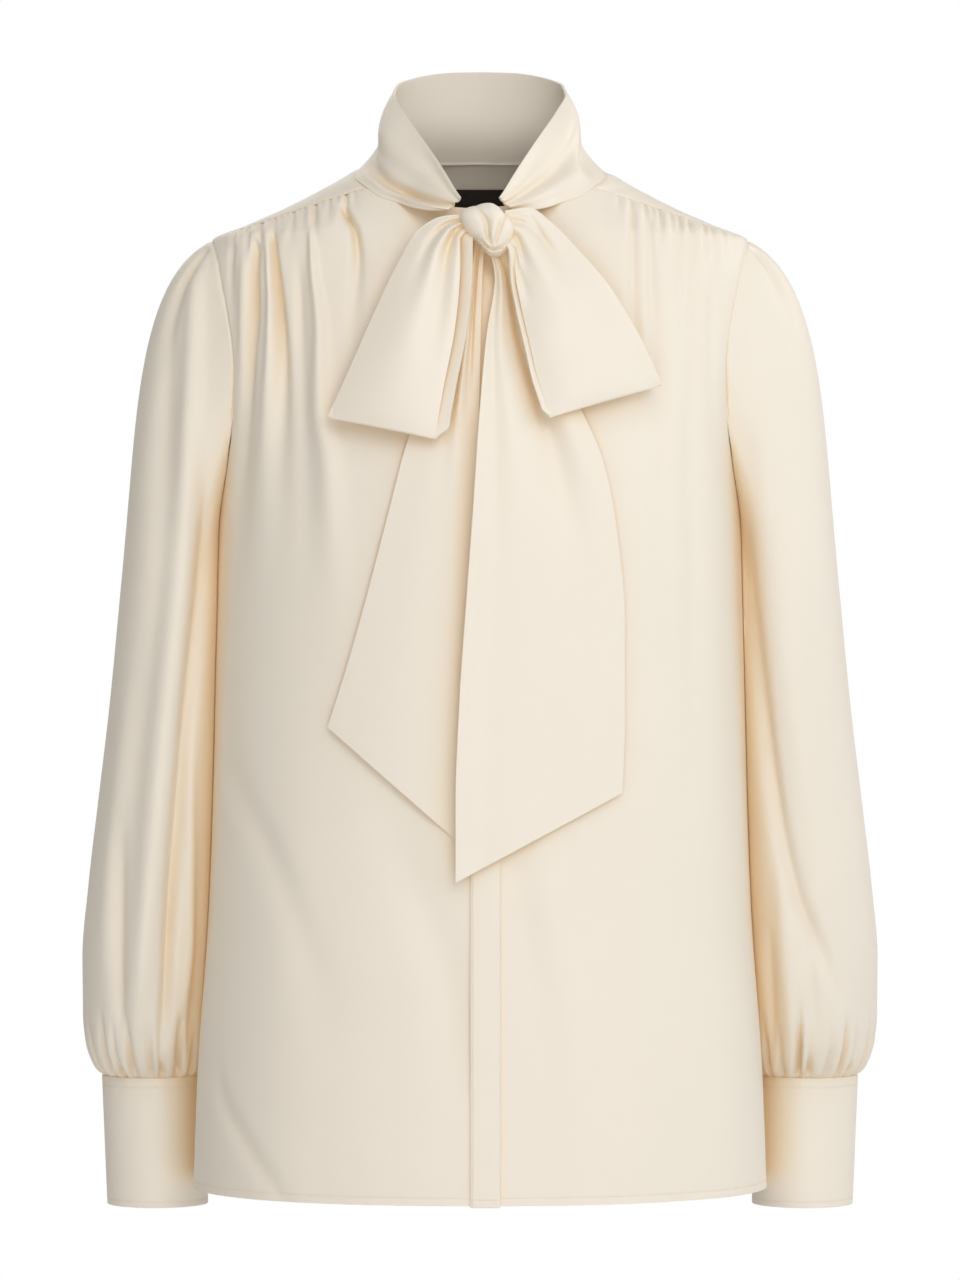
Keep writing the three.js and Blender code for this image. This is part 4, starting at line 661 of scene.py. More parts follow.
# Sewing
def resampled(rows, spacing):
    """Evenly spaced rows of numbers, of which the first three are places."""
    steps = np.linalg.norm(np.diff(rows[:, :3], axis=0), axis=1)
    run = np.concatenate([[0], np.cumsum(steps)])
    at = np.arange(spacing / 2, run[-1], spacing)
    return np.stack([np.interp(at, run, column) for column in rows.T], axis=1)


def stitched(name, lines, radius=0.17):
    """Runs of stitches on lines of places and normals, as one piece."""
    pitch = bpy.context.scene.blouse_sewing.stitch_pitch / MM
    deselect()
    bpy.ops.mesh.primitive_uv_sphere_add(segments=6, ring_count=4, radius=1)
    piece = bpy.context.object
    piece.name = piece.data.name = name
    one = np.array([vertex.co for vertex in piece.data.vertices])
    faces = [tuple(polygon.vertices) for polygon in piece.data.polygons]
    places, polygons = [], []
    for path, normals in lines:
        rows = np.concatenate([path, normals, np.gradient(path, axis=0)], axis=1)
        rows = resampled(rows, pitch)
        middle, up, along = rows[:, :3], unit(rows[:, 3:6]), unit(rows[:, 6:])
        side = unit(np.cross(along, up))
        for centre, a, s, u in zip(middle, along, side, up):
            start = len(places) * len(one)
            places.append(
                centre + u * radius * 0.6
                + one[:, :1] * a * pitch * 0.38 + one[:, 1:2] * s * radius + one[:, 2:] * u * radius
            )
            polygons.extend(tuple(start + corner for corner in face) for face in faces)
    mesh = bpy.data.meshes.new(name)
    mesh.from_pydata((np.concatenate(places) * MM).tolist(), [], polygons)
    spare, piece.data = piece.data, mesh
    bpy.data.meshes.remove(spare)
    deselect()
    piece.select_set(True)
    bpy.ops.object.shade_smooth()
    place_on_body(piece, material_named("sewing thread"))
    return piece


# Materials
# Painted shade: the golden colour multiplied in where cloth faces cloth, and the colour of the emitted light
# painted there
POCKET_SHADE_TINT = (0.99, 0.82, 0.58, 1)
PAINTED_GLOW_COLOUR = (1, 0.72, 0.42, 1)


def node_group(name, inputs, outputs):
    group = bpy.data.node_groups.new(name, "ShaderNodeTree")
    for label, kind, value in inputs:
        socket = group.interface.new_socket(label, in_out="INPUT", socket_type=kind)
        socket.default_value = value
    for label, kind in outputs:
        group.interface.new_socket(label, in_out="OUTPUT", socket_type=kind)
    return group, group.nodes.new("NodeGroupInput"), group.nodes.new("NodeGroupOutput")


def math_node(tree, operation, first, second=None):
    node = tree.nodes.new("ShaderNodeMath")
    node.operation = operation
    for socket, value in zip(node.inputs, (first, second)):
        if value is None:
            continue
        if hasattr(value, "is_output"):
            tree.links.new(value, socket)
        else:
            socket.default_value = value
    return node.outputs[0]


def woven_group():
    """Crepe: crossed yarns on the pattern, a crinkled grain and slow changes of tone."""
    group, given, made = node_group(
        "woven cloth",
        [
            ("Colour", "NodeSocketColor", (0.8, 0.75, 0.65, 1)),
            ("Yarns per metre", "NodeSocketFloat", 3200),
            ("Grain", "NodeSocketFloat", 0.5),
            ("Tone", "NodeSocketFloat", 0.03),
            ("Roughness", "NodeSocketFloat", 0.5),
        ],
        [("Color", "NodeSocketColor"), ("Roughness", "NodeSocketFloat"), ("Height", "NodeSocketFloat")],
    )
    nodes, links = group.nodes, group.links
    pattern = nodes.new("ShaderNodeTexCoord")
    wave_scale = math_node(group, "MULTIPLY", given.outputs["Yarns per metre"], math.pi / 10)
    yarns = []
    for direction in ("X", "Y"):
        wave = nodes.new("ShaderNodeTexWave")
        wave.bands_direction = direction
        wave.inputs["Distortion"].default_value = 1.6
        wave.inputs["Detail"].default_value = 1
        wave.inputs["Detail Scale"].default_value = 0.4
        links.new(pattern.outputs["UV"], wave.inputs["Vector"])
        links.new(wave_scale, wave.inputs["Scale"])
        yarns.append(wave.outputs["Fac"])
    crossed = math_node(group, "MULTIPLY", yarns[0], yarns[1])
    grain = nodes.new("ShaderNodeTexNoise")
    grain.inputs["Scale"].default_value = 1500
    grain.inputs["Detail"].default_value = 3
    links.new(pattern.outputs["Object"], grain.inputs["Vector"])
    crinkle = math_node(group, "MULTIPLY", grain.outputs["Fac"], given.outputs["Grain"])
    links.new(math_node(group, "ADD", crossed, crinkle), made.inputs["Height"])
    slow = nodes.new("ShaderNodeTexNoise")
    slow.inputs["Scale"].default_value = 14
    slow.inputs["Detail"].default_value = 2
    links.new(pattern.outputs["Object"], slow.inputs["Vector"])
    swing = math_node(group, "MULTIPLY", math_node(group, "SUBTRACT", slow.outputs["Fac"], 0.5),
                      given.outputs["Tone"])
    fine = math_node(group, "MULTIPLY", math_node(group, "SUBTRACT", crossed, 0.25), 0.035)
    tone = math_node(group, "ADD", math_node(group, "ADD", swing, fine), 1)
    scaled = nodes.new("ShaderNodeVectorMath")
    scaled.operation = "SCALE"
    links.new(given.outputs["Colour"], scaled.inputs[0])
    links.new(tone, scaled.inputs["Scale"])
    links.new(scaled.outputs["Vector"], made.inputs["Color"])
    shine = math_node(group, "MULTIPLY", math_node(group, "SUBTRACT", grain.outputs["Fac"], 0.5), 0.12)
    links.new(math_node(group, "ADD", shine, given.outputs["Roughness"]), made.inputs["Roughness"])
    return group


def woven_material(name, colour, yarns, grain, tone, roughness, bump, glow=0, **shader):
    """A cloth or thread whose colour, roughness and height come from the woven group, with shade and emitted
    light painted into its pockets.
    """
    material = bpy.data.materials.new(name)
    material.use_nodes = True
    tree = material.node_tree
    principled = tree.nodes["Principled BSDF"]
    weave = tree.nodes.new("ShaderNodeGroup")
    weave.node_tree = bpy.data.node_groups.get("woven cloth") or woven_group()
    values = {"Colour": colour, "Yarns per metre": yarns, "Grain": grain, "Tone": tone,
              "Roughness": roughness}
    for label, value in values.items():
        weave.inputs[label].default_value = value
    relief = tree.nodes.new("ShaderNodeBump")
    relief.inputs["Strength"].default_value = bump
    relief.inputs["Distance"].default_value = 0.0001
    # Painted shade and painted emission in the pockets, found by ambient occlusion
    paint_pocket_shade_and_glow(tree, principled, weave.outputs["Color"], glow)
    tree.links.new(weave.outputs["Roughness"], principled.inputs["Roughness"])
    tree.links.new(weave.outputs["Height"], relief.inputs["Height"])
    tree.links.new(relief.outputs["Normal"], principled.inputs["Normal"])
    for label, value in shader.items():
        principled.inputs[label.replace("_", " ").title()].default_value = value
    return material


def paint_pocket_shade_and_glow(tree, principled, colour, glow):
    """Paints a golden shade into the colour where cloth faces cloth, found by ambient occlusion, and a faint
    emitted light there, painted in place of the light passing through the thin cloth.
    """
    pocket = tree.nodes.new("ShaderNodeAmbientOcclusion")
    pocket.samples = 8
    pocket.inputs["Distance"].default_value = 0.03
    shade_tint = tree.nodes.new("ShaderNodeMix")
    shade_tint.data_type = "RGBA"
    shade_tint.inputs["A"].default_value = POCKET_SHADE_TINT
    shade_tint.inputs["B"].default_value = (1, 1, 1, 1)
    tree.links.new(pocket.outputs["AO"], shade_tint.inputs["Factor"])
    shaded_colour = tree.nodes.new("ShaderNodeMix")
    shaded_colour.data_type, shaded_colour.blend_type = "RGBA", "MULTIPLY"
    shaded_colour.inputs["Factor"].default_value = 1
    tree.links.new(colour, shaded_colour.inputs["A"])
    tree.links.new(shade_tint.outputs["Result"], shaded_colour.inputs["B"])
    tree.links.new(shaded_colour.outputs["Result"], principled.inputs["Base Color"])
    # Painted light: emission that grows as the occlusion closes in, though the cloth is no lamp
    if glow:
        closed = math_node(tree, "POWER", math_node(tree, "SUBTRACT", 1, pocket.outputs["AO"]), 3)
        principled.inputs["Emission Color"].default_value = PAINTED_GLOW_COLOUR
        tree.links.new(math_node(tree, "MULTIPLY", closed, glow), principled.inputs["Emission Strength"])


def make_materials():
    cloth = bpy.context.scene.blouse_cloth
    colour = tuple(cloth.colour) + (1,)
    # The sheen is the shader's; the last value is the strength of the light painted into pockets as emission
    satin = {"sheen_weight": cloth.sheen, "sheen_roughness": 0.45, "glow": cloth.glow}
    woven_material("ivory crepe", colour, 3200, 0.6, 0.03, cloth.roughness, 0.25, **satin)
    woven_material("ivory crepe, doubled", colour, 3200, 0.5, 0.02, cloth.roughness - 0.04, 0.2, **satin)
    woven_material("sewing thread", tuple(cloth.thread_colour) + (1,), 5200, 0.3, 0.05, 0.45, 0.4)
    woven_material("black label weave", tuple(cloth.label_colour) + (1,), 4200, 0.4, 0.2, 0.5, 0.6)
    button_material()


def button_material():
    """A cast button with faint pearly bands."""
    material = bpy.data.materials.new("polished button")
    material.use_nodes = True
    tree = material.node_tree
    principled = tree.nodes["Principled BSDF"]
    place = tree.nodes.new("ShaderNodeTexCoord")
    bands = tree.nodes.new("ShaderNodeTexNoise")
    bands.inputs["Scale"].default_value = 240
    bands.inputs["Distortion"].default_value = 2
    tree.links.new(place.outputs["Object"], bands.inputs["Vector"])
    ramp = tree.nodes.new("ShaderNodeValToRGB")
    ramp.color_ramp.elements[0].color = (0.74, 0.65, 0.51, 1)
    ramp.color_ramp.elements[1].color = (0.9, 0.84, 0.74, 1)
    tree.links.new(bands.outputs["Fac"], ramp.inputs["Fac"])
    tree.links.new(ramp.outputs["Color"], principled.inputs["Base Color"])
    principled.inputs["Roughness"].default_value = 0.22
    principled.inputs["Coat Weight"].default_value = 0.4


def material_named(name):
    if name not in bpy.data.materials:
        make_materials()
    return bpy.data.materials[name]


# Fronts and placket
def seam_at(share):
    """The front shoulder seam at a share of the way from the neck to the armhole."""
    neck = ring_point(SEAM_NECK_ANGLE, SEAM_NECK_Z)
    tip = face_point(armhole_at["front"](SEAM_TIP_Z), SEAM_TIP_Z, "front")
    return across_body(neck, tip, share)


def front_form(middle_x, shares, downs):
    """A front on the body: its places, their heights below the top edge and the armhole's distance."""
    neck_x = ring_point(SEAM_NECK_ANGLE, SEAM_NECK_Z)[0]
    tip_x = armhole_at["front"](SEAM_TIP_Z)
    seam = seam_at(np.clip((shares - NECK_SHARE) / (1 - NECK_SHARE), 0, 1))
    neck = np.clip(shares / NECK_SHARE, 0, 1)
    on_seam = shares > NECK_SHARE
    top_x = np.where(on_seam, seam[:, 0], lerp(middle_x, neck_x, neck))
    top_z = np.where(on_seam, seam[:, 2], neckline_at(neck**NECK_BEND * SEAM_NECK_ANGLE))
    z = lerp(top_z, HEM_Z, downs[:, None])
    settled = smooth(top_z, UNDERARM_Z, z)
    start_share = math.asin(middle_x / half_width_at(HEM_Z))
    spread = np.sin(lerp(start_share, math.pi / 2, shares))
    above = armhole_at["front"](np.minimum(z, SHOULDER_TIP_Z))
    edge_x = np.where(z > UNDERARM_Z, above, half_width_at(z))
    x = np.minimum(edge_x * lerp(top_x / tip_x, spread, settled), half_width_at(z))
    return face_point(x, z, "front"), top_z - z, edge_x


def front_relief(places, below, edge_x, side):
    """The folds that fall from a front's gathers, and the short gathers between them."""
    x, z = places[..., 0], places[..., 2]
    still = smooth(0, 12, edge_x - x) * smooth(2, 14, below)
    relief = line_height(FRONT_FOLDS[side], x, z) * np.where(z > UNDERARM_Z, still, 1)
    gathers = SEAM_GATHERS[side]
    for at, depth, run in zip(gathers["at"], gathers["depth"], gathers["run"]):
        faded = (0.45 + 0.55 * smooth(0, 5, below)) * (1 - smooth(0.1, 1, below / (1.7 * run)))
        breadth = SEAM_GATHER_BREADTH * (1 + 1.6 * below / run)
        relief -= depth * faded * np.exp(-(((x - at) / breadth) ** 2))
    puff = smooth(0, 7, below) * (1 - smooth(10, 60, below))
    full = smooth(78, 96, x) * (1 - smooth(158, 168, x))
    return relief + 1.8 * puff * full


class BLOUSE_OT_fronts(bpy.types.Operator):
    """Lay both fronts, gathered under the shoulder seams"""

    bl_idname = "blouse.fronts"
    bl_label = "Fronts"

    def execute(self, context):
        neck = NECK_SHARE * spaced(55, 22, last=())
        shares = np.concatenate([neck, lerp(NECK_SHARE, 1, spaced(130, 112, first=()))[1:]])
        downs = spaced(640, 92, last=HEM_STEPS, dense=(60, 34))
        stitch_row = len(downs) - 1 - HEM_STEPS.index(HEM_STITCH)
        for side, sign, middle_x in (("right", -1, -PLACKET_LEFT_X), ("left", 1, PLACKET_LEFT_X)):
            places, below, edge_x = front_form(middle_x, shares, downs)
            outward = body_normal(places)
            heights = front_relief(places, below, edge_x, side)
            heights += seam_relief(places, ("first", "right"), ("last",), seed=sign + 3)
            places = raised(places, outward, heights) * (sign, 1, 1)
            outward = outward * (sign, 1, 1)
            thickness = context.scene.blouse_cloth.thickness / MM
            front = lay_sheet(f"front_{side}_cloth", places, outward, thickness)
            place_on_body(front, material_named("ivory crepe"), f"front_{side}")
            hem = stitched(f"front_{side}_hem_stitches", [(places[stitch_row], outward[stitch_row])])
        return {"FINISHED"}


class BLOUSE_OT_placket(bpy.types.Operator):
    """Lay the strip that hides the front fastening, with its line of stitches"""

    bl_idname = "blouse.placket"
    bl_label = "Front placket"

    def execute(self, context):
        thickness = 1.3
        lift = 1.7
        top_z = float(neckline_at(0.0)) - 12
        shares = spaced(PLACKET_RIGHT_X - PLACKET_LEFT_X, 14, (0, 0.5, 1, 1.4, 1.8, 2.6), (0, 0.6, 1.4))
        downs = spaced(HEM_Z * -1 + top_z, 220, (0, 1), HEM_STEPS)
        stitch_column, stitch_row = 3, len(downs) - 1 - HEM_STEPS.index(HEM_STITCH)
        x = lerp(PLACKET_LEFT_X, PLACKET_RIGHT_X, shares)[None, :]
        z = lerp(top_z, HEM_Z - 1, downs)[:, None]
        places = face_point(x + 0 * z, z + 0 * x, "front")
        outward = body_normal(places)
        distances = edge_distances(places)
        heights = lift + 0.12 * pucker(distances["first"] * 0.6, 0.4) * (0.4 + 0.6 * shares)
        heights = heights + line_height(FRONT_FOLDS["left"], places[..., 0], places[..., 2]) * (x > 0)
        heights -= 0.6 * np.exp(-((distances["left"] / 1.1) ** 2))
        heights -= STITCH_DIP * np.exp(-(((distances["left"] - 1.4) / 0.4) ** 2))
        heights -= STITCH_DIP * np.exp(-(((distances["last"] - HEM_STITCH) / STITCH_BREADTH) ** 2))
        places = raised(places, outward, heights)
        strip = lay_sheet("front_placket_cloth", places, outward, thickness, edge=0.4)
        place_on_body(strip, material_named("ivory crepe"), "front_placket")
        stitches = stitched("front_placket_stitches", [
            (places[:, stitch_column], outward[:, stitch_column]),
            (places[stitch_row], outward[stitch_row]),
        ])
        return {"FINISHED"}


# Back and yoke
class BLOUSE_OT_back(bpy.types.Operator):
    """Lay the back, from the yoke seam to the hem"""

    bl_idname = "blouse.back"
    bl_label = "Back"

    def execute(self, context):
        shares = spaced(420, 150)
        downs = spaced(552, 96, last=HEM_STEPS)
        stitch_row = len(downs) - 1 - HEM_STEPS.index(HEM_STITCH)
        z = lerp(YOKE_SEAM_Z, HEM_Z, downs)[:, None] + 0 * shares
        edge_x = np.where(z > UNDERARM_Z, armhole_at["back"](z), half_width_at(z))
        x = edge_x * np.sin(lerp(-math.pi / 2, math.pi / 2, shares))
        places = face_point(x, z, "back")
        outward = body_normal(places)
        still = np.where(z > UNDERARM_Z, smooth(0, 14, edge_x - np.abs(x)), 1)
        heights = line_height(BACK_FOLDS, x, z) * still * smooth(YOKE_SEAM_Z, YOKE_SEAM_Z - 30, z)
        heights += seam_relief(places, ("first", "left", "right"), ("last",), seed=6)
        places = raised(places, outward, heights)
        back = lay_sheet("back_cloth", places, outward, context.scene.blouse_cloth.thickness / MM)
        place_on_body(back, material_named("ivory crepe"), "back")
        hem = stitched("back_hem_stitches", [(places[stitch_row], outward[stitch_row])])
        return {"FINISHED"}


YOKE_FRONT_END, YOKE_ARM_END = 2 / 14, 7 / 14  # shares of the way round the yoke's outer edge


def yoke_outer(share):
    """The yoke's outer edge: over the shoulder's end, down the armhole and across the back."""
    front_z = lerp(SEAM_TIP_Z, SHOULDER_TIP_Z, share / YOKE_FRONT_END)
    arm = np.clip((share - YOKE_FRONT_END) / (YOKE_ARM_END - YOKE_FRONT_END), 0, 1)
    arm_z = lerp(SHOULDER_TIP_Z, YOKE_SEAM_Z, arm**1.5)
    corner = angle_of(armhole_at["back"](YOKE_SEAM_Z), YOKE_SEAM_Z, "back")
    back = (share - YOKE_ARM_END) / (1 - YOKE_ARM_END)
    in_front, by_arm = share < YOKE_FRONT_END, share < YOKE_ARM_END
    z = np.where(in_front, front_z, np.where(by_arm, arm_z, YOKE_SEAM_Z))
    angle = np.where(
        in_front,
        angle_of(armhole_at["front"](front_z), front_z, "front"),
        np.where(by_arm, angle_of(armhole_at["back"](arm_z), arm_z, "back"), lerp(corner, 180, back)),
    )
    return ring_point(angle, z)


class BLOUSE_OT_yoke(bpy.types.Operator):
    """Lay the yoke over both shoulders and the upper back"""

    bl_idname = "blouse.yoke"
    bl_label = "Yoke"

    def execute(self, context):
        halves = np.unique(np.concatenate([spaced(230, 90, last=()), [YOKE_FRONT_END, YOKE_ARM_END]]))
        downs = spaced(120, 44)
        neck_angle = lerp(SEAM_NECK_ANGLE, 180, halves)
        neck_z = np.where(halves == 0, SEAM_NECK_Z, neckline_at(neck_angle))
        inner = ring_point(neck_angle, neck_z)
        outer = yoke_outer(halves)
        half = across_body(inner[None], outer[None], downs[:, None] + 0 * halves)
        places = np.concatenate([half * (-1, 1, 1), half[:, -2::-1]], axis=1)
        outward = body_normal(places)
        heights = seam_relief(places, ("first", "last", "left", "right"), puckers=0.12, seed=9)
        distances = edge_distances(places)
        drag = np.exp(-distances["first"] / 16) * smooth(0, 4, distances["first"])
        heights += 0.5 * drag * pucker(distances["left"] * 0.22, 2)
        places = raised(places, outward, heights)
        yoke = lay_sheet("yoke_cloth", places, outward, context.scene.blouse_cloth.thickness / MM)
        place_on_body(yoke, material_named("ivory crepe"), "yoke")
        return {"FINISHED"}


# Sleeves and cuffs
def section_columns(rows):
    return {name: curve(rows, name) for name in ("outer", "inner", "middle_y", "half_depth")}


def section_point(columns, angle, z):
    outer, inner = columns["outer"](z), columns["inner"](z)
    sine, cosine = np.sin(np.radians(angle)), np.cos(np.radians(angle))
    across = (outer + inner) / 2 + (outer - inner) / 2 * cosine
    return stack(across, columns["middle_y"](z) - columns["half_depth"](z) * sine, z)


def armhole_point(angle):
    share = (1 - np.cos(np.radians(angle))) / 2
    z = lerp(SHOULDER_TIP_Z, UNDERARM_Z, share)
    front = face_point(armhole_at["front"](z), z, "front")
    back = face_point(armhole_at["back"](z), z, "back")
    return np.where((np.sin(np.radians(angle)) >= 0)[..., None], front, back)


def cleared(places, amount):
    """Keeps a sleeve's places off the side of the body."""
    x, y, z = np.moveaxis(places, -1, 0)
    return stack(np.maximum(x, body_side_at(y, z) + amount), y, z)


def cap_point(angle, t):
    angle, t = np.broadcast_arrays(angle, t)
    sine, cosine = np.sin(np.radians(angle)), np.cos(np.radians(angle))
    start = armhole_point(angle)
    end = section_point(section_columns(SLEEVE), angle, CAP_END_Z + 0 * angle)
    high = (1 + cosine) / 2
    bent = (sine * sine, sine, sine * sine)
    leave = stack(*(
        lerp(under, top, high) + forward * way
        for under, top, forward, way in zip(
            CAP_LEAVES["under"], CAP_LEAVES["top"], CAP_LEAVES["forward"], bent
        )
    ))
    arrive = stack(
        CAP_MEETS["out"] * cosine,
        CAP_MEETS["back"] - CAP_MEETS["front"] * sine,
        -CAP_MEETS["down"] - CAP_MEETS["down_at_top"] * high,
    )
    reach = np.linalg.norm(end - start, axis=-1, keepdims=True) / CAP_REACH
    share = t[..., None]
    square, cube = share**2, share**3
    places = (
        (2 * cube - 3 * square + 1) * start
        + (cube - 2 * square + share) * leave * reach
        + (3 * square - 2 * cube) * end
        + (cube - square) * arrive * reach
    )
    return cleared(places, np.where(t == 0, 0, SLEEVE_CLEARANCE * smooth(0, 0.4, t) * (cosine < -0.6)))


def eased_rows(places, around_row, reach, passes=24, share=0.6):
    """Smooths the rows of a grid near one row, where two forms meet."""
    rows = np.arange(len(places))
    weight = np.exp(-(((rows - around_row) / reach) ** 2))[1:-1, None, None]
    for _ in range(passes):
        between = (places[:-2] + places[2:]) / 2
        places[1:-1] += (between - places[1:-1]) * weight * share
    return places


def gather_relief(angle, z, seed):
    """The gathers that the cuff draws the sleeve into, uneven in depth and length."""
    pinch = np.arange(SLEEVE_GATHERS + 1)
    drift = np.where(pinch % SLEEVE_GATHERS, PINCH_DRIFT * np.sin(2.4 * pinch), 0)
    pinches = 360 * (pinch + drift) / SLEEVE_GATHERS
    number = np.clip(np.searchsorted(pinches, angle % 360, side="right") - 1, 0, SLEEVE_GATHERS - 1)
    share = (angle % 360 - pinches[number]) / (pinches[number + 1] - pinches[number])
    nearest = (number + (share > 0.5)) % SLEEVE_GATHERS
    depth = GATHER_DEPTH["mean"] + GATHER_DEPTH["swing"] * np.sin(1.7 * nearest + seed)
    run = GATHER_RUN["mean"] + GATHER_RUN["swing"] * np.sin(2.3 * nearest + 1.7 * seed)
    above = z - SLEEVE_END_Z
    width = 1 - 0.55 * np.exp(-above / 9)
    valley = np.exp(-((np.minimum(share, 1 - share) / (0.24 * (1.4 - 0.6 * width))) ** 2))
    tight = 0.2 + 0.8 * smooth(0, 6, above)
    between = 2.2 * (1 - valley) * (1 - smooth(14, 50, above)) * tight
    return -depth * valley * (1 - smooth(0.2, 1, above / run)) * tight + between


def sleeve_places(side, angles):
    cap = np.linspace(0, 1, 46)[:-1] ** CAP_SPACING
    cap = np.unique(np.concatenate([[0, 0.004, 0.009, 0.016, 0.026], cap]))
    below = lerp(CAP_END_Z, SLEEVE_END_Z, spaced(CAP_END_Z - SLEEVE_END_Z, 96, (), (0, 1, 2, 3.2, 4.8, 6.6)))
    columns = section_columns(SLEEVE)
    upper = cap_point(angles[None, :], cap[:, None])
    lower = section_point(columns, angles[None, :], below[:, None])
    lower = cleared(lower, SLEEVE_CLEARANCE)
    places = eased_rows(np.concatenate([upper, lower]), len(cap), 9)
    turned = np.abs((angles + 180) % 360 - 180) / 360
    outward = grid_normals(places, places - places.mean(axis=1, keepdims=True), around=True)
    outward[0] = body_normal(places[0])
    lifted = UNDERARM_STEP * smooth(0.2, 0.4, turned)
    places[0] += outward[0] * lifted[:, None]
    x, z = places[..., 0], places[..., 2]
    from_front = -outward[..., 1]
    in_front, behind = smooth(0.02, 0.4, from_front), smooth(0.02, 0.4, -from_front)
    folds = SLEEVE_FOLDS[side]
    heights = line_height(folds["front"], x, z) * in_front + line_height(folds["back"], x, z) * behind
    away = edge_distances(places)
    heights *= smooth(1, 9, away["first"])
    turn = angles[None, :] + 0 * z
    heights += gather_relief(turn, z, 1.0 if side == "right" else 2.6)
    heights += 0.14 * pucker(away["left"], 4) * np.exp(-away["first"] / 5) * smooth(0, 1.5, away["first"])
    heights -= SEAM_DIP * np.exp(-((away["first"] / SEAM_BREADTH) ** 2))
    heights -= 0.7 * np.exp(-((away["last"] / 1.2) ** 2))
    places = raised(places, outward, heights)
    inside = (turned > 110 / 360) & (np.arange(len(places)) > 3)[:, None]
    return np.where(inside[..., None], cleared(places, SLEEVE_CLEARANCE), places), outward


class BLOUSE_OT_sleeves(bpy.types.Operator):
    """Set in both sleeves, tucked at the shoulder and gathered into the cuffs"""

    bl_idname = "blouse.sleeves"
    bl_label = "Sleeves"

    def execute(self, context):
        angles = np.linspace(0, 360, 240, endpoint=False)
        for side, sign in (("right", -1), ("left", 1)):
            places, outward = sleeve_places(side, angles)
            places, outward = places * (sign, 1, 1), outward * (sign, 1, 1)
            thickness = context.scene.blouse_cloth.thickness / MM
            sleeve = lay_sheet(f"sleeve_{side}_cloth", places, outward, thickness, around=True, edge=0)
            place_on_body(sleeve, material_named("ivory crepe"), f"sleeve_{side}")
        return {"FINISHED"}


def cuff_places(angles, z):
    columns = section_columns(CUFF)
    places = section_point(columns, angles[None, :], z[:, None])
    turn = np.radians(angles)
    outward = stack(np.cos(turn), -np.sin(turn), 0 * turn)[None] + 0 * places
    return places, outward


class BLOUSE_OT_cuffs(bpy.types.Operator):
    """Wrap both cuffs, lapped and buttoned at the back, with a line of stitches under the gathers"""

    bl_idname = "blouse.cuffs"
    bl_label = "Cuffs"

    def execute(self, context):
        start, end = CUFF_LAP["start"], CUFF_LAP["end"] + 360
        angles = start + (end - start) * spaced(240, 130, (0, 0.5, 1.2), (0, 0.5, 1.2))
        length = CUFF_TOP_Z - CUFF_BOTTOM_Z
        top_steps = (0, 0.5, 1.2, 2.2, 5, 5.8, 6.4, 7, 8)
        downs = spaced(length, 22, top_steps, (0, 0.8, 2, 3.4, 4, 4.6, 5.6))
        z = lerp(CUFF_TOP_Z, CUFF_BOTTOM_Z, downs)
        places, outward = cuff_places(angles, z)
        past = angles - start
        lap = CUFF_LAP["end"] - start
        tuck = CUFF_LAP["tuck"] * (1 - smooth(lap, lap + CUFF_LAP["settle"], past))
        distances = edge_distances(places)
        heights = -tuck[None, :] - 0.25 * np.exp(-((distances["first"] / 1.1) ** 2))
        top_row, bottom_row = top_steps.index(CUFF_STITCH_ROWS["first"]), len(downs) - 5
        for edge, at in CUFF_STITCH_ROWS.items():
            heights = heights - STITCH_DIP * np.exp(-(((distances[edge] - at) / STITCH_BREADTH) ** 2))
        heights += 0.1 * pucker(distances["left"], 5) * np.exp(-distances["first"] / 8)
        slack = np.sin(np.radians(angles * 2 + 40))[None, :] * np.sin(math.pi * downs)[:, None]
        heights = heights + 0.5 * slack
        for side, sign in (("right", -1), ("left", 1)):
            laid = raised(places, outward, heights) * (sign, 1, 1)
            facing = outward * (sign, 1, 1)
            cuff = lay_sheet(f"cuff_{side}_cloth", laid, facing, 1.9, edge=0.3)
            place_on_body(cuff, material_named("ivory crepe, doubled"), f"cuff_{side}")
            seen = angles > CUFF_LAP["end"]
            stitches = stitched(f"cuff_{side}_stitches", [
                (laid[top_row][seen], facing[top_row][seen]),
                (laid[bottom_row][seen], facing[bottom_row][seen]),
            ])
        return {"FINISHED"}


# Buttons
def button_body():
    """A turned button: a rounded disc with a dished face and four holes."""
    radius, thickness = BUTTON["radius"] * MM, BUTTON["thickness"] * MM
    deselect()
    bpy.ops.mesh.primitive_cylinder_add(vertices=40, radius=radius, depth=thickness)
    button = bpy.context.object
    working = bmesh.new()
    working.from_mesh(button.data)
    top = [face for face in working.faces if face.normal.z > 0.9]
    bmesh.ops.inset_region(working, faces=top, thickness=radius * 0.26, depth=0)
    bmesh.ops.inset_region(working, faces=top, thickness=radius * 0.1, depth=-thickness * 0.26)
    rims = [edge for edge in working.edges if abs(edge.verts[0].co.xy.length - radius) < 1e-6
            and abs(edge.verts[1].co.xy.length - radius) < 1e-6
            and abs(edge.verts[0].co.z - edge.verts[1].co.z) < 1e-6]
    bmesh.ops.bevel(working, geom=rims, offset=thickness * 0.3, segments=4, profile=0.5, affect="EDGES")
    working.to_mesh(button.data)
    working.free()
    for across in (-1, 1):
        for up in (-1, 1):
            deselect()
            place = (across * radius * 0.22, up * radius * 0.22, 0)
            bpy.ops.mesh.primitive_cylinder_add(vertices=14, radius=radius * 0.13, depth=4 * thickness,
                                                location=place)
            drill = bpy.context.object
            hole = button.modifiers.new("hole", "BOOLEAN")
            hole.object, hole.operation, hole.solver = drill, "DIFFERENCE", "EXACT"
            apply_modifiers(button)
            bpy.data.objects.remove(drill)
    return button


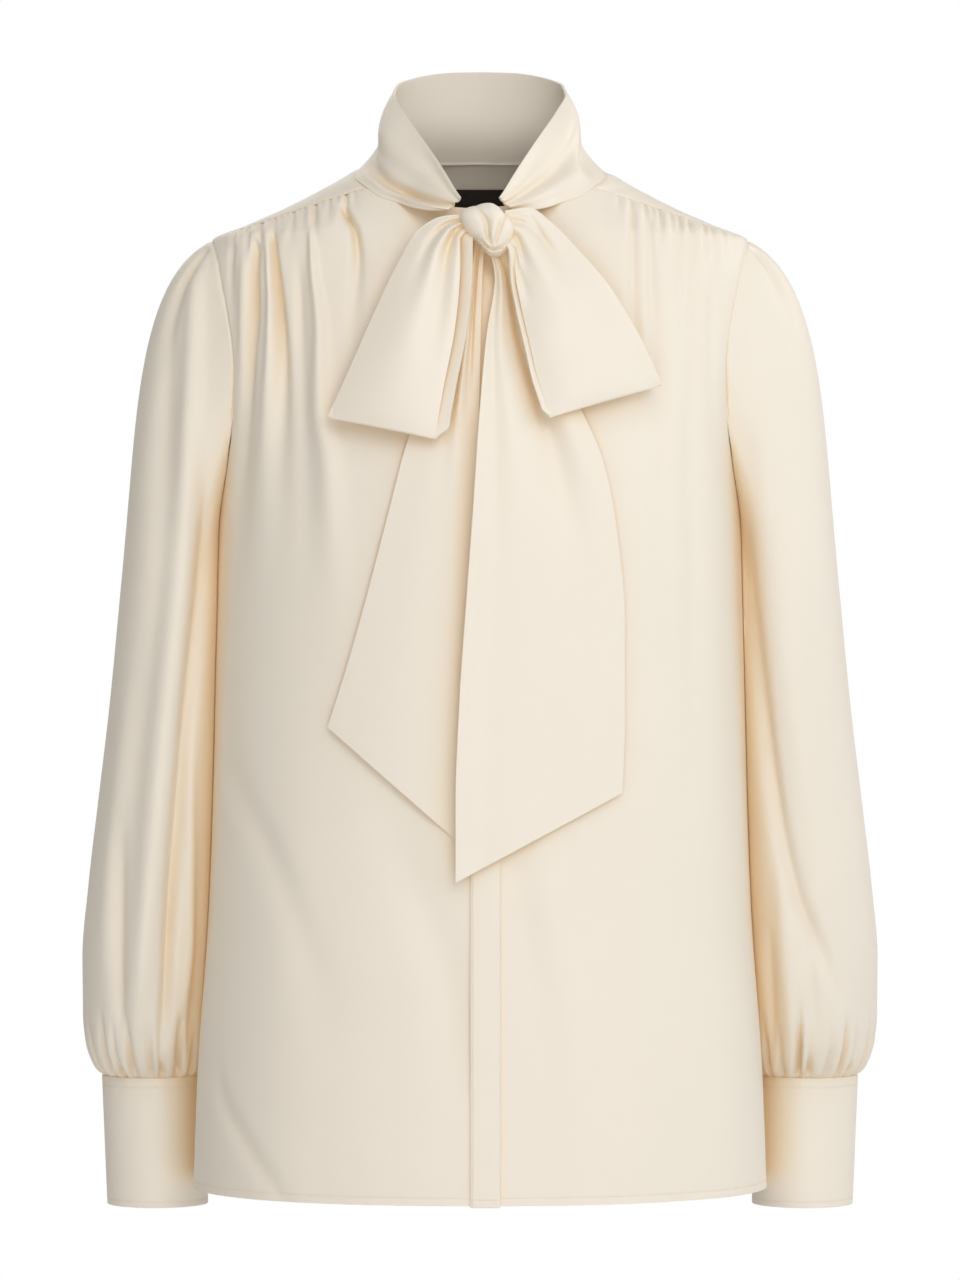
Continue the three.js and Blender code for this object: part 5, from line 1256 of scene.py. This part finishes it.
class BLOUSE_OT_buttons(bpy.types.Operator):
    """Sew two buttons to each cuff"""

    bl_idname = "blouse.buttons"
    bl_label = "Cuff buttons"

    def execute(self, context):
        pattern = button_body()
        columns = section_columns(CUFF)
        turn = math.radians(BUTTON["angle"])
        for side, sign in (("right", -1), ("left", 1)):
            for number, z in enumerate(BUTTON["heights"], 1):
                place = section_point(columns, np.array(BUTTON["angle"]), np.array(float(z)))
                outward = Vector((sign * math.cos(turn), -math.sin(turn), 0)).normalized()
                lift = BUTTON["thickness"] / 2 + BUTTON["lift"]
                seat = Vector(place * (sign, 1, 1)) * MM + outward * lift * MM
                stand = outward.to_track_quat("Z", "Y").to_matrix().to_4x4()
                button = pattern.copy()
                button.data = pattern.data.copy()
                button.name = button.data.name = f"cuff_button_{side}_{number}_cast"
                context.collection.objects.link(button)
                button.data.transform(Matrix.Translation(seat) @ stand)
                finish_smooth(button, 35)
                place_on_body(button, material_named("polished button"), f"cuff_button_{side}_{number}")
                self.sew(button.name, seat, stand)
        bpy.data.objects.remove(pattern)
        return {"FINISHED"}

    def sew(self, name, seat, stand):
        """Two bars of thread through the four holes."""
        reach = BUTTON["radius"] * 0.22
        top = BUTTON["thickness"] * 0.26
        lines = []
        for across in (-1, 1):
            for strand in (-0.12, 0.12):
                strand_x = across * reach + strand
                path = np.array([(strand_x, up * reach * 1.15, top) for up in (-1, -0.3, 0.3, 1)])
                placed = np.array([(stand @ Vector(p)) + seat / MM for p in path])
                normal = np.array(stand.to_3x3() @ Vector((0, 0, 1)))
                lines.append((placed, np.tile(normal, (len(placed), 1))))
        stitched(name.replace("_cast", "_thread"), lines, radius=0.2)


# Collar, knot and bow
def collar_places(angles, ups):
    """One half of the standing collar, from the knot to the middle of the back."""
    angle, up = np.broadcast_arrays(angles[None, :], ups[:, None])
    base = ring_point(angle, neckline_at(angle))
    gathered = 1 - smooth(48, 75, angle)
    base = base + body_normal(base) * lerp(COLLAR_LIFT, COLLAR_FRONT_LIFT["out"], gathered)[..., None]
    forward = 1 - smooth(COLLAR_TO_KNOT["start"], COLLAR_TO_KNOT["end"], angle)
    base[..., 0] += COLLAR_TO_KNOT["outward"] * forward
    base[..., 1] -= COLLAR_TO_KNOT["forward"] * forward
    base[..., 2] += lerp(COLLAR_LIFT, COLLAR_FRONT_LIFT["up"], gathered) - COLLAR_TO_KNOT["down"] * forward
    top = stack(*(curve(COLLAR_TOP, axis, "angle")(angle) for axis in "xyz"))
    leaning = up + COLLAR_STAND * np.sin(2 * math.pi * up) * smooth(30, 60, angle)
    places = lerp(base, top, stack(leaning, leaning, up))
    bow = np.sin(math.pi * up) * COLLAR_HOLLOW * smooth(10, 60, angle)
    places[..., 0] += bow * np.sin(np.radians(angle))
    places[..., 1] -= bow * np.cos(np.radians(angle))
    return places


class BLOUSE_OT_collar(bpy.types.Operator):
    """Stand the collar round the neck, drawn into the knot in front"""

    bl_idname = "blouse.collar"
    bl_label = "Collar"

    def execute(self, context):
        angles = lerp(6.0, 180.0, np.linspace(0, 1, 112) ** 1.15)
        ups = spaced(80, 46, last=(0, 0.6, 1.4, 2.4))
        halves = []
        for side, sign in (("right", -1), ("left", 1)):
            places = collar_places(angles, ups)
            middle = np.array([0, 0, 40.0])
            outward = grid_normals(places, (places - middle) * (1, 1, 0))
            turn, up = np.broadcast_arrays(angles[None, :], ups[:, None])
            heights = line_height(COLLAR_CREASES[side], up, turn, by="angle", at="up")
            heights = heights * smooth(0, 0.12, up) * (1 - smooth(0.9, 1, up) * 0.6)
            away = edge_distances(places)["first"]
            heights -= 0.5 * np.exp(-((away / 1.2) ** 2)) * smooth(40, 70, turn)
            halves.append((raised(places, outward, heights) * (sign, 1, 1), outward * (sign, 1, 1)))
        (right, right_out), (left, left_out) = halves
        places = np.concatenate([right, left[:, -2::-1]], axis=1)
        outward = np.concatenate([right_out, left_out[:, -2::-1]], axis=1)
        collar = lay_sheet("collar_cloth", places, outward, 1.6, edge=0.7)
        place_on_body(collar, material_named("ivory crepe, doubled"), "collar")
        return {"FINISHED"}


class BLOUSE_OT_knot(bpy.types.Operator):
    """Shape the knot: a band drawn over the tie's crossing, creased towards its lower end"""

    bl_idname = "blouse.knot"
    bl_label = "Tie knot"

    def execute(self, context):
        deselect()
        bpy.ops.mesh.primitive_uv_sphere_add(segments=128, ring_count=80, radius=1,
                                             rotation=(math.pi / 2, 0, 0))
        knot = bpy.context.object
        bpy.ops.object.transform_apply(location=False, rotation=True, scale=False)
        knot.name = knot.data.name = "tie_knot_cloth"
        ball = np.array([vertex.co for vertex in knot.data.vertices])
        radius = np.hypot(ball[:, 0], ball[:, 2])
        angle = np.degrees(np.arctan2(ball[:, 2], ball[:, 0])) % 360
        outline = np.interp(angle, KNOT_OUTLINE["angle"], KNOT_OUTLINE["radius"], period=360)
        spread = radius ** 0.86
        depth = np.where(ball[:, 1] < 0, KNOT_DEPTH["front"], KNOT_DEPTH["back"])
        way = np.stack([ball[:, 0], ball[:, 2]], axis=1) / np.maximum(radius, 1e-9)[:, None]
        x = KNOT_CENTRE[0] + way[:, 0] * spread * outline
        z = KNOT_CENTRE[2] + way[:, 1] * spread * outline
        y = KNOT_CENTRE[1] + powered(ball[:, 1], 0.8) * depth
        front = smooth(0, 0.25, -ball[:, 1])
        y -= line_height(KNOT_CREASES, x, z) * front
        groove = np.abs(z - curve(KNOT_GROOVE, "z", "x")(x)) / KNOT_GROOVE_BREADTH
        inside = (x > KNOT_GROOVE["x"][0] - 1) & (x < KNOT_GROOVE["x"][-1])
        y += curve(KNOT_GROOVE, "depth", "x")(x) * np.exp(-groove**2) * inside * front
        knot.data.vertices.foreach_set("co", (stack(x, y, z) * MM).ravel())
        knot.data.update()
        finish_smooth(knot, 80)
        place_on_body(knot, material_named("ivory crepe, doubled"), "tie_knot")
        return {"FINISHED"}


def off_front(x, z, lift):
    return face_point(x, z, "front") - stack(0 * lift, lift, 0 * lift)


def shared(rows):
    return {**rows, "along": np.linspace(0, 1, len(next(iter(rows.values()))))}


def loop_places(side):
    rows = shared(LOOPS[side])
    columns = {name: curve(rows, name, "along") for name in rows if name != "along"}
    out = 1 - (1 - np.linspace(0, 1, 74)) ** 1.5
    out = np.unique(np.concatenate([out, 1 - LOOP_FOLD * (1 - np.cos(np.linspace(0, math.pi / 2, 10)))]))
    along = np.concatenate([out, out[-2::-1]])[:, None]
    layer = np.concatenate([np.ones(len(out)), -np.ones(len(out) - 1)])[:, None]
    across = spaced(75, 52, (0, 0.6, 1.4, 2.4), (0, 0.6, 1.4, 2.4))[None, :]
    along, layer, across = np.broadcast_arrays(along, layer, across)
    turn = np.sqrt(1 - np.maximum(0, 1 - (1 - along) / LOOP_FOLD) ** 2)
    x = lerp(columns["outer_x"](along), columns["inner_x"](along), across)
    x = x + LOOP_PEEK[side] * (layer < 0) * across**2 * smooth(0, 0.14, 1 - along)
    z = lerp(columns["outer_z"](along), columns["inner_z"](along), across)
    open_to = columns["bulge"](along) * turn * (1 - (2 * across - 1) ** 2 * LOOP_SAG)
    lift = columns["lift"](along) + layer * open_to
    pleats = line_height(LOOP_PLEATS[side], across, along, by="along", at="across")
    kept = np.where(layer > 0, 1, 0.35) * smooth(0, 0.06, 1 - along)
    return off_front(x, z, lift + pleats * kept), layer


class BLOUSE_OT_bow_loops(bpy.types.Operator):
    """Lay the bow's two loops, each a doubled band that turns back on itself"""

    bl_idname = "blouse.bow_loops"
    bl_label = "Bow loops"

    def execute(self, context):
        for side in ("right", "left"):
            places, layer = loop_places(side)
            forward = stack(0 * layer, -layer, 0 * layer)
            outward = grid_normals(places, forward)
            loop = lay_sheet(f"bow_loop_{side}_cloth", places, outward, 1.5, edge=0.65)
            place_on_body(loop, material_named("ivory crepe, doubled"), f"bow_loop_{side}")
        return {"FINISHED"}


def tail_places(side):
    rows = shared(TAILS[side])
    columns = {name: curve(rows, name, "along") for name in rows if name != "along"}
    along = spaced(430, 150, (0, 1), (0, 0.6, 1.4, 2.4))[:, None]
    across = spaced(90, 64, (0, 0.6, 1.4, 2.4), (0, 0.6, 1.4, 2.4))[None, :]
    along, across = np.broadcast_arrays(along, across)
    x = lerp(columns["left_x"](along), columns["right_x"](along), across)
    z = lerp(columns["left_z"](along), columns["right_z"](along), across)
    sink = TAIL_SINK if side == "left" else 0
    low = sink * smooth(0.25, 0.6, across) * smooth(0.2, 0.5, along)
    pleats = line_height(TAIL_PLEATS[side], across, along, by="along", at="across")
    return off_front(x, z, columns["lift"](along) - low + pleats)


class BLOUSE_OT_tie_tails(bpy.types.Operator):
    """Hang the tie's two tails down the front, pleated below the knot"""

    bl_idname = "blouse.tie_tails"
    bl_label = "Tie tails"

    def execute(self, context):
        for side in ("right", "left"):
            places = tail_places(side)
            outward = grid_normals(places, stack(0 * places[..., 0], -1, 0))
            tail = lay_sheet(f"tie_tail_{side}_cloth", places, outward, 1.5, edge=0.65)
            place_on_body(tail, material_named("ivory crepe, doubled"), f"tie_tail_{side}")
        return {"FINISHED"}


class BLOUSE_OT_label(bpy.types.Operator):
    """Sew a plain woven label inside the back of the neck"""

    bl_idname = "blouse.label"
    bl_label = "Neck label"

    def execute(self, context):
        shares = np.linspace(0, 1, 57)
        downs = np.linspace(0, 1, 25)
        x = (LABEL["middle_x"] + LABEL["half_width"] * lerp(-1, 1, shares))[None, :] + 0 * downs[:, None]
        z = (LABEL["top_z"] - LABEL["height"] * downs)[:, None] + 0 * x
        places = face_point(x, z, "back")
        inward = -body_normal(places)
        bowed = 0.5 * np.sin(math.pi * downs)[:, None] * (0.4 + 0.6 * np.sin(math.pi * shares)[None, :])
        places = raised(places, inward, LABEL["behind"] - 1 + bowed)
        label = lay_sheet("neck_label_cloth", places, inward, 0.5, edge=0.2)
        place_on_body(label, material_named("black label weave"), "neck_label")
        return {"FINISHED"}


# Stage
AMBIENT_SWING = 0.3  # how much stronger the ambient light is from the right, and weaker from the left
STUDIO_LIGHTS = (
    {"name": "key light", "power": "key_power", "azimuth": 20, "height": 25, "colour": (1, 0.96, 0.9)},
    {"name": "top light", "power": "top_power", "azimuth": 0, "height": 50, "colour": (1, 0.98, 0.95)},
    {"name": "side light", "power": "side_power", "azimuth": 75, "height": 20, "colour": (0.8, 0.9, 1)},
    {"name": "back light", "power": "back_power", "azimuth": 120, "height": 30, "colour": (1, 0.92, 0.8)},
    {"name": "low light", "power": "low_power", "azimuth": 0, "height": -15, "colour": (1, 0.99, 0.97)},
    {"name": "fill light", "power": "fill_power", "azimuth": -30, "height": 5, "colour": (1, 0.97, 0.9)},
    {"name": "rear light", "power": "rear_power", "azimuth": 200, "height": 30, "colour": (1, 0.97, 0.92)},
)


class BLOUSE_OT_stage(bpy.types.Operator):
    """Set up the camera, soft studio light and a pale floor"""

    bl_idname = "blouse.stage"
    bl_label = "Stage"

    def execute(self, context):
        settings = context.scene.blouse_stage
        scene = context.scene
        scene.view_settings.view_transform = "Standard"
        camera_data = bpy.data.cameras.new("camera")
        camera_data.lens = settings.lens
        camera_data.sensor_width = 36
        camera = bpy.data.objects.new("camera", camera_data)
        camera.location = (0, -settings.camera_distance, settings.camera_height)
        camera.rotation_euler = (math.pi / 2, 0, 0)
        scene.collection.objects.link(camera)
        scene.camera = camera
        self.floor(settings)
        self.world(scene, settings)
        for light in STUDIO_LIGHTS:
            self.light(settings, **light)
        return {"FINISHED"}

    def floor(self, settings):
        deselect()
        bpy.ops.mesh.primitive_grid_add(x_subdivisions=8, y_subdivisions=8, size=4.6,
                                        location=(0, 0, settings.floor_height))
        floor = bpy.context.object
        floor.name = floor.data.name = "floor"
        material = bpy.data.materials.new("pale floor")
        material.use_nodes = True
        principled = material.node_tree.nodes["Principled BSDF"]
        principled.inputs["Base Color"].default_value = (0.86, 0.86, 0.86, 1)
        principled.inputs["Roughness"].default_value = 0.7
        floor.data.materials.append(material)

    def world(self, scene, settings):
        """White behind the blouse, and a softer white in the light that falls on it."""
        world = scene.world or bpy.data.worlds.new("studio")
        scene.world = world
        world.use_nodes = True
        tree = world.node_tree
        tree.nodes.clear()
        output = tree.nodes.new("ShaderNodeOutputWorld")
        mixed = tree.nodes.new("ShaderNodeMixShader")
        path = tree.nodes.new("ShaderNodeLightPath")
        ambient = tree.nodes.new("ShaderNodeBackground")
        ambient.inputs["Color"].default_value = (1, 0.95, 0.875, 1)
        direction = tree.nodes.new("ShaderNodeTexCoord")
        parts = tree.nodes.new("ShaderNodeSeparateXYZ")
        tree.links.new(direction.outputs["Generated"], parts.inputs["Vector"])
        sideways = math_node(tree, "MULTIPLY", parts.outputs["X"], settings.ambient * AMBIENT_SWING)
        strength = math_node(tree, "ADD", sideways, settings.ambient)
        tree.links.new(strength, ambient.inputs["Strength"])
        seen = tree.nodes.new("ShaderNodeBackground")
        seen.inputs["Color"].default_value = (1, 1, 1, 1)
        tree.links.new(path.outputs["Is Camera Ray"], mixed.inputs["Fac"])
        tree.links.new(ambient.outputs["Background"], mixed.inputs[1])
        tree.links.new(seen.outputs["Background"], mixed.inputs[2])
        tree.links.new(mixed.outputs["Shader"], output.inputs["Surface"])

    def light(self, settings, name, power, azimuth, height, colour):
        """A round light aimed at the middle of the blouse. Its azimuth runs from the front to +X."""
        lamp = bpy.data.lights.new(name, "AREA")
        lamp.shape, lamp.size, lamp.color = "DISK", settings.light_size, colour
        lamp.energy = getattr(settings, power)
        turn, rise = math.radians(azimuth), math.radians(height)
        away = Vector((math.sin(turn) * math.cos(rise), -math.cos(turn) * math.cos(rise), math.sin(rise)))
        holder = bpy.data.objects.new(name, lamp)
        holder.location = Vector((0, 0, settings.camera_height)) + away * settings.light_distance
        holder.rotation_euler = away.to_track_quat("Z", "Y").to_euler()
        holder.visible_camera = False
        bpy.context.scene.collection.objects.link(holder)


# Settings and panel
class BlouseCloth(bpy.types.PropertyGroup):
    colour: bpy.props.FloatVectorProperty(
        name="Cloth colour", description="Colour of the crepe", subtype="COLOR", size=3, min=0, max=1,
        default=(0.82, 0.775, 0.7),
    )
    thread_colour: bpy.props.FloatVectorProperty(
        name="Thread colour", description="Colour of the stitches", subtype="COLOR", size=3, min=0, max=1,
        default=(0.82, 0.75, 0.65),
    )
    label_colour: bpy.props.FloatVectorProperty(
        name="Label colour", description="Colour of the woven label", subtype="COLOR", size=3, min=0,
        max=1, default=(0.012, 0.01, 0.009),
    )
    thickness: bpy.props.FloatProperty(
        name="Cloth thickness", description="Thickness of one layer", subtype="DISTANCE", unit="LENGTH",
        default=0.0008, min=0.0003, max=0.003,
    )
    roughness: bpy.props.FloatProperty(
        name="Roughness", description="Lower gives the crepe more of a satin shine", subtype="FACTOR",
        default=0.5, min=0, max=1,
    )
    sheen: bpy.props.FloatProperty(
        name="Sheen", description="Soft light along the edges of folds", subtype="FACTOR",
        default=0.2, min=0, max=1,
    )
    # Strength of the emission painted into the cloth's pockets, in place of light through the thin cloth
    glow: bpy.props.FloatProperty(
        name="Glow", description="Light that passes through the thin cloth into its pockets",
        subtype="FACTOR", default=0.07, min=0, max=1,
    )


class BlouseSewing(bpy.types.PropertyGroup):
    stitch_pitch: bpy.props.FloatProperty(
        name="Stitch pitch", description="Distance from one stitch to the next", subtype="DISTANCE",
        unit="LENGTH", default=0.0026, min=0.001, max=0.006,
    )


class BlouseStage(bpy.types.PropertyGroup):
    camera_distance: bpy.props.FloatProperty(
        name="Camera distance", description="From the camera to the shoulders", subtype="DISTANCE",
        unit="LENGTH", default=3.5, min=0.5, max=10,
    )
    camera_height: bpy.props.FloatProperty(
        name="Camera height", description="Height of the level camera", subtype="DISTANCE",
        unit="LENGTH", default=-0.297,
    )
    lens: bpy.props.FloatProperty(
        name="Lens", description="Focal length in millimetres, on a 36 mm frame", default=149.15, min=10,
        max=400,
    )
    floor_height: bpy.props.FloatProperty(
        name="Floor height", description="Height of the floor under the wearer's feet",
        subtype="DISTANCE", unit="LENGTH", default=-1.35,
    )
    light_distance: bpy.props.FloatProperty(
        name="Light distance", description="From each light to the blouse", subtype="DISTANCE",
        unit="LENGTH", default=2.8, min=1, max=10,
    )
    light_size: bpy.props.FloatProperty(
        name="Light size", description="Breadth of each light", subtype="DISTANCE", unit="LENGTH",
        default=1.5, min=0.1, max=4,
    )
    key_power: bpy.props.FloatProperty(
        name="Key light", description="Power of the main light, upper right", unit="POWER", default=16,
        min=0,
    )
    top_power: bpy.props.FloatProperty(
        name="Top light", description="Power of the light above the camera", unit="POWER", default=11,
        min=0,
    )
    side_power: bpy.props.FloatProperty(
        name="Side light", description="Power of the light at the viewer's right", unit="POWER",
        default=9, min=0,
    )
    back_power: bpy.props.FloatProperty(
        name="Back light", description="Power of the light behind on the right", unit="POWER",
        default=13, min=0,
    )
    low_power: bpy.props.FloatProperty(
        name="Low light", description="Power of the light in front, near the floor", unit="POWER",
        default=14, min=0,
    )
    fill_power: bpy.props.FloatProperty(
        name="Fill light", description="Power of the weak light from the left", unit="POWER",
        default=3, min=0,
    )
    rear_power: bpy.props.FloatProperty(
        name="Rear light", description="Power of the light behind the blouse", unit="POWER", default=9, min=0,
    )
    ambient: bpy.props.FloatProperty(
        name="Ambient light", description="Strength of the light from all round", default=0.5, min=0,
        max=2,
    )


class BLOUSE_PT_panel(bpy.types.Panel):
    """The blouse's pieces and settings"""

    bl_label = "Tie-neck blouse"
    bl_idname = "BLOUSE_PT_panel"
    bl_space_type = "VIEW_3D"
    bl_region_type = "UI"
    bl_category = "Blouse"

    def draw(self, context):
        layout = self.layout
        for name, kind in SETTINGS:
            box = layout.box()
            for setting in kind.__annotations__:
                box.prop(getattr(context.scene, name), setting)
        for step in STEPS:
            layout.operator(step.bl_idname)


STEPS = (
    BLOUSE_OT_fronts, BLOUSE_OT_placket, BLOUSE_OT_back, BLOUSE_OT_yoke, BLOUSE_OT_sleeves,
    BLOUSE_OT_cuffs, BLOUSE_OT_buttons, BLOUSE_OT_collar, BLOUSE_OT_knot, BLOUSE_OT_bow_loops,
    BLOUSE_OT_tie_tails, BLOUSE_OT_label, BLOUSE_OT_stage,
)
SETTINGS = (("blouse_cloth", BlouseCloth), ("blouse_sewing", BlouseSewing), ("blouse_stage", BlouseStage))


def register():
    for name, kind in SETTINGS:
        bpy.utils.register_class(kind)
        setattr(bpy.types.Scene, name, bpy.props.PointerProperty(type=kind))
    for step in (*STEPS, BLOUSE_PT_panel):
        bpy.utils.register_class(step)


def unregister():
    for step in reversed((*STEPS, BLOUSE_PT_panel)):
        bpy.utils.unregister_class(step)
    for name, kind in reversed(SETTINGS):
        delattr(bpy.types.Scene, name)
        bpy.utils.unregister_class(kind)


def main():
    register()
    for step in STEPS:
        group, name = step.bl_idname.split(".")
        getattr(getattr(bpy.ops, group), name)()


if __name__ == "__main__":
    main()
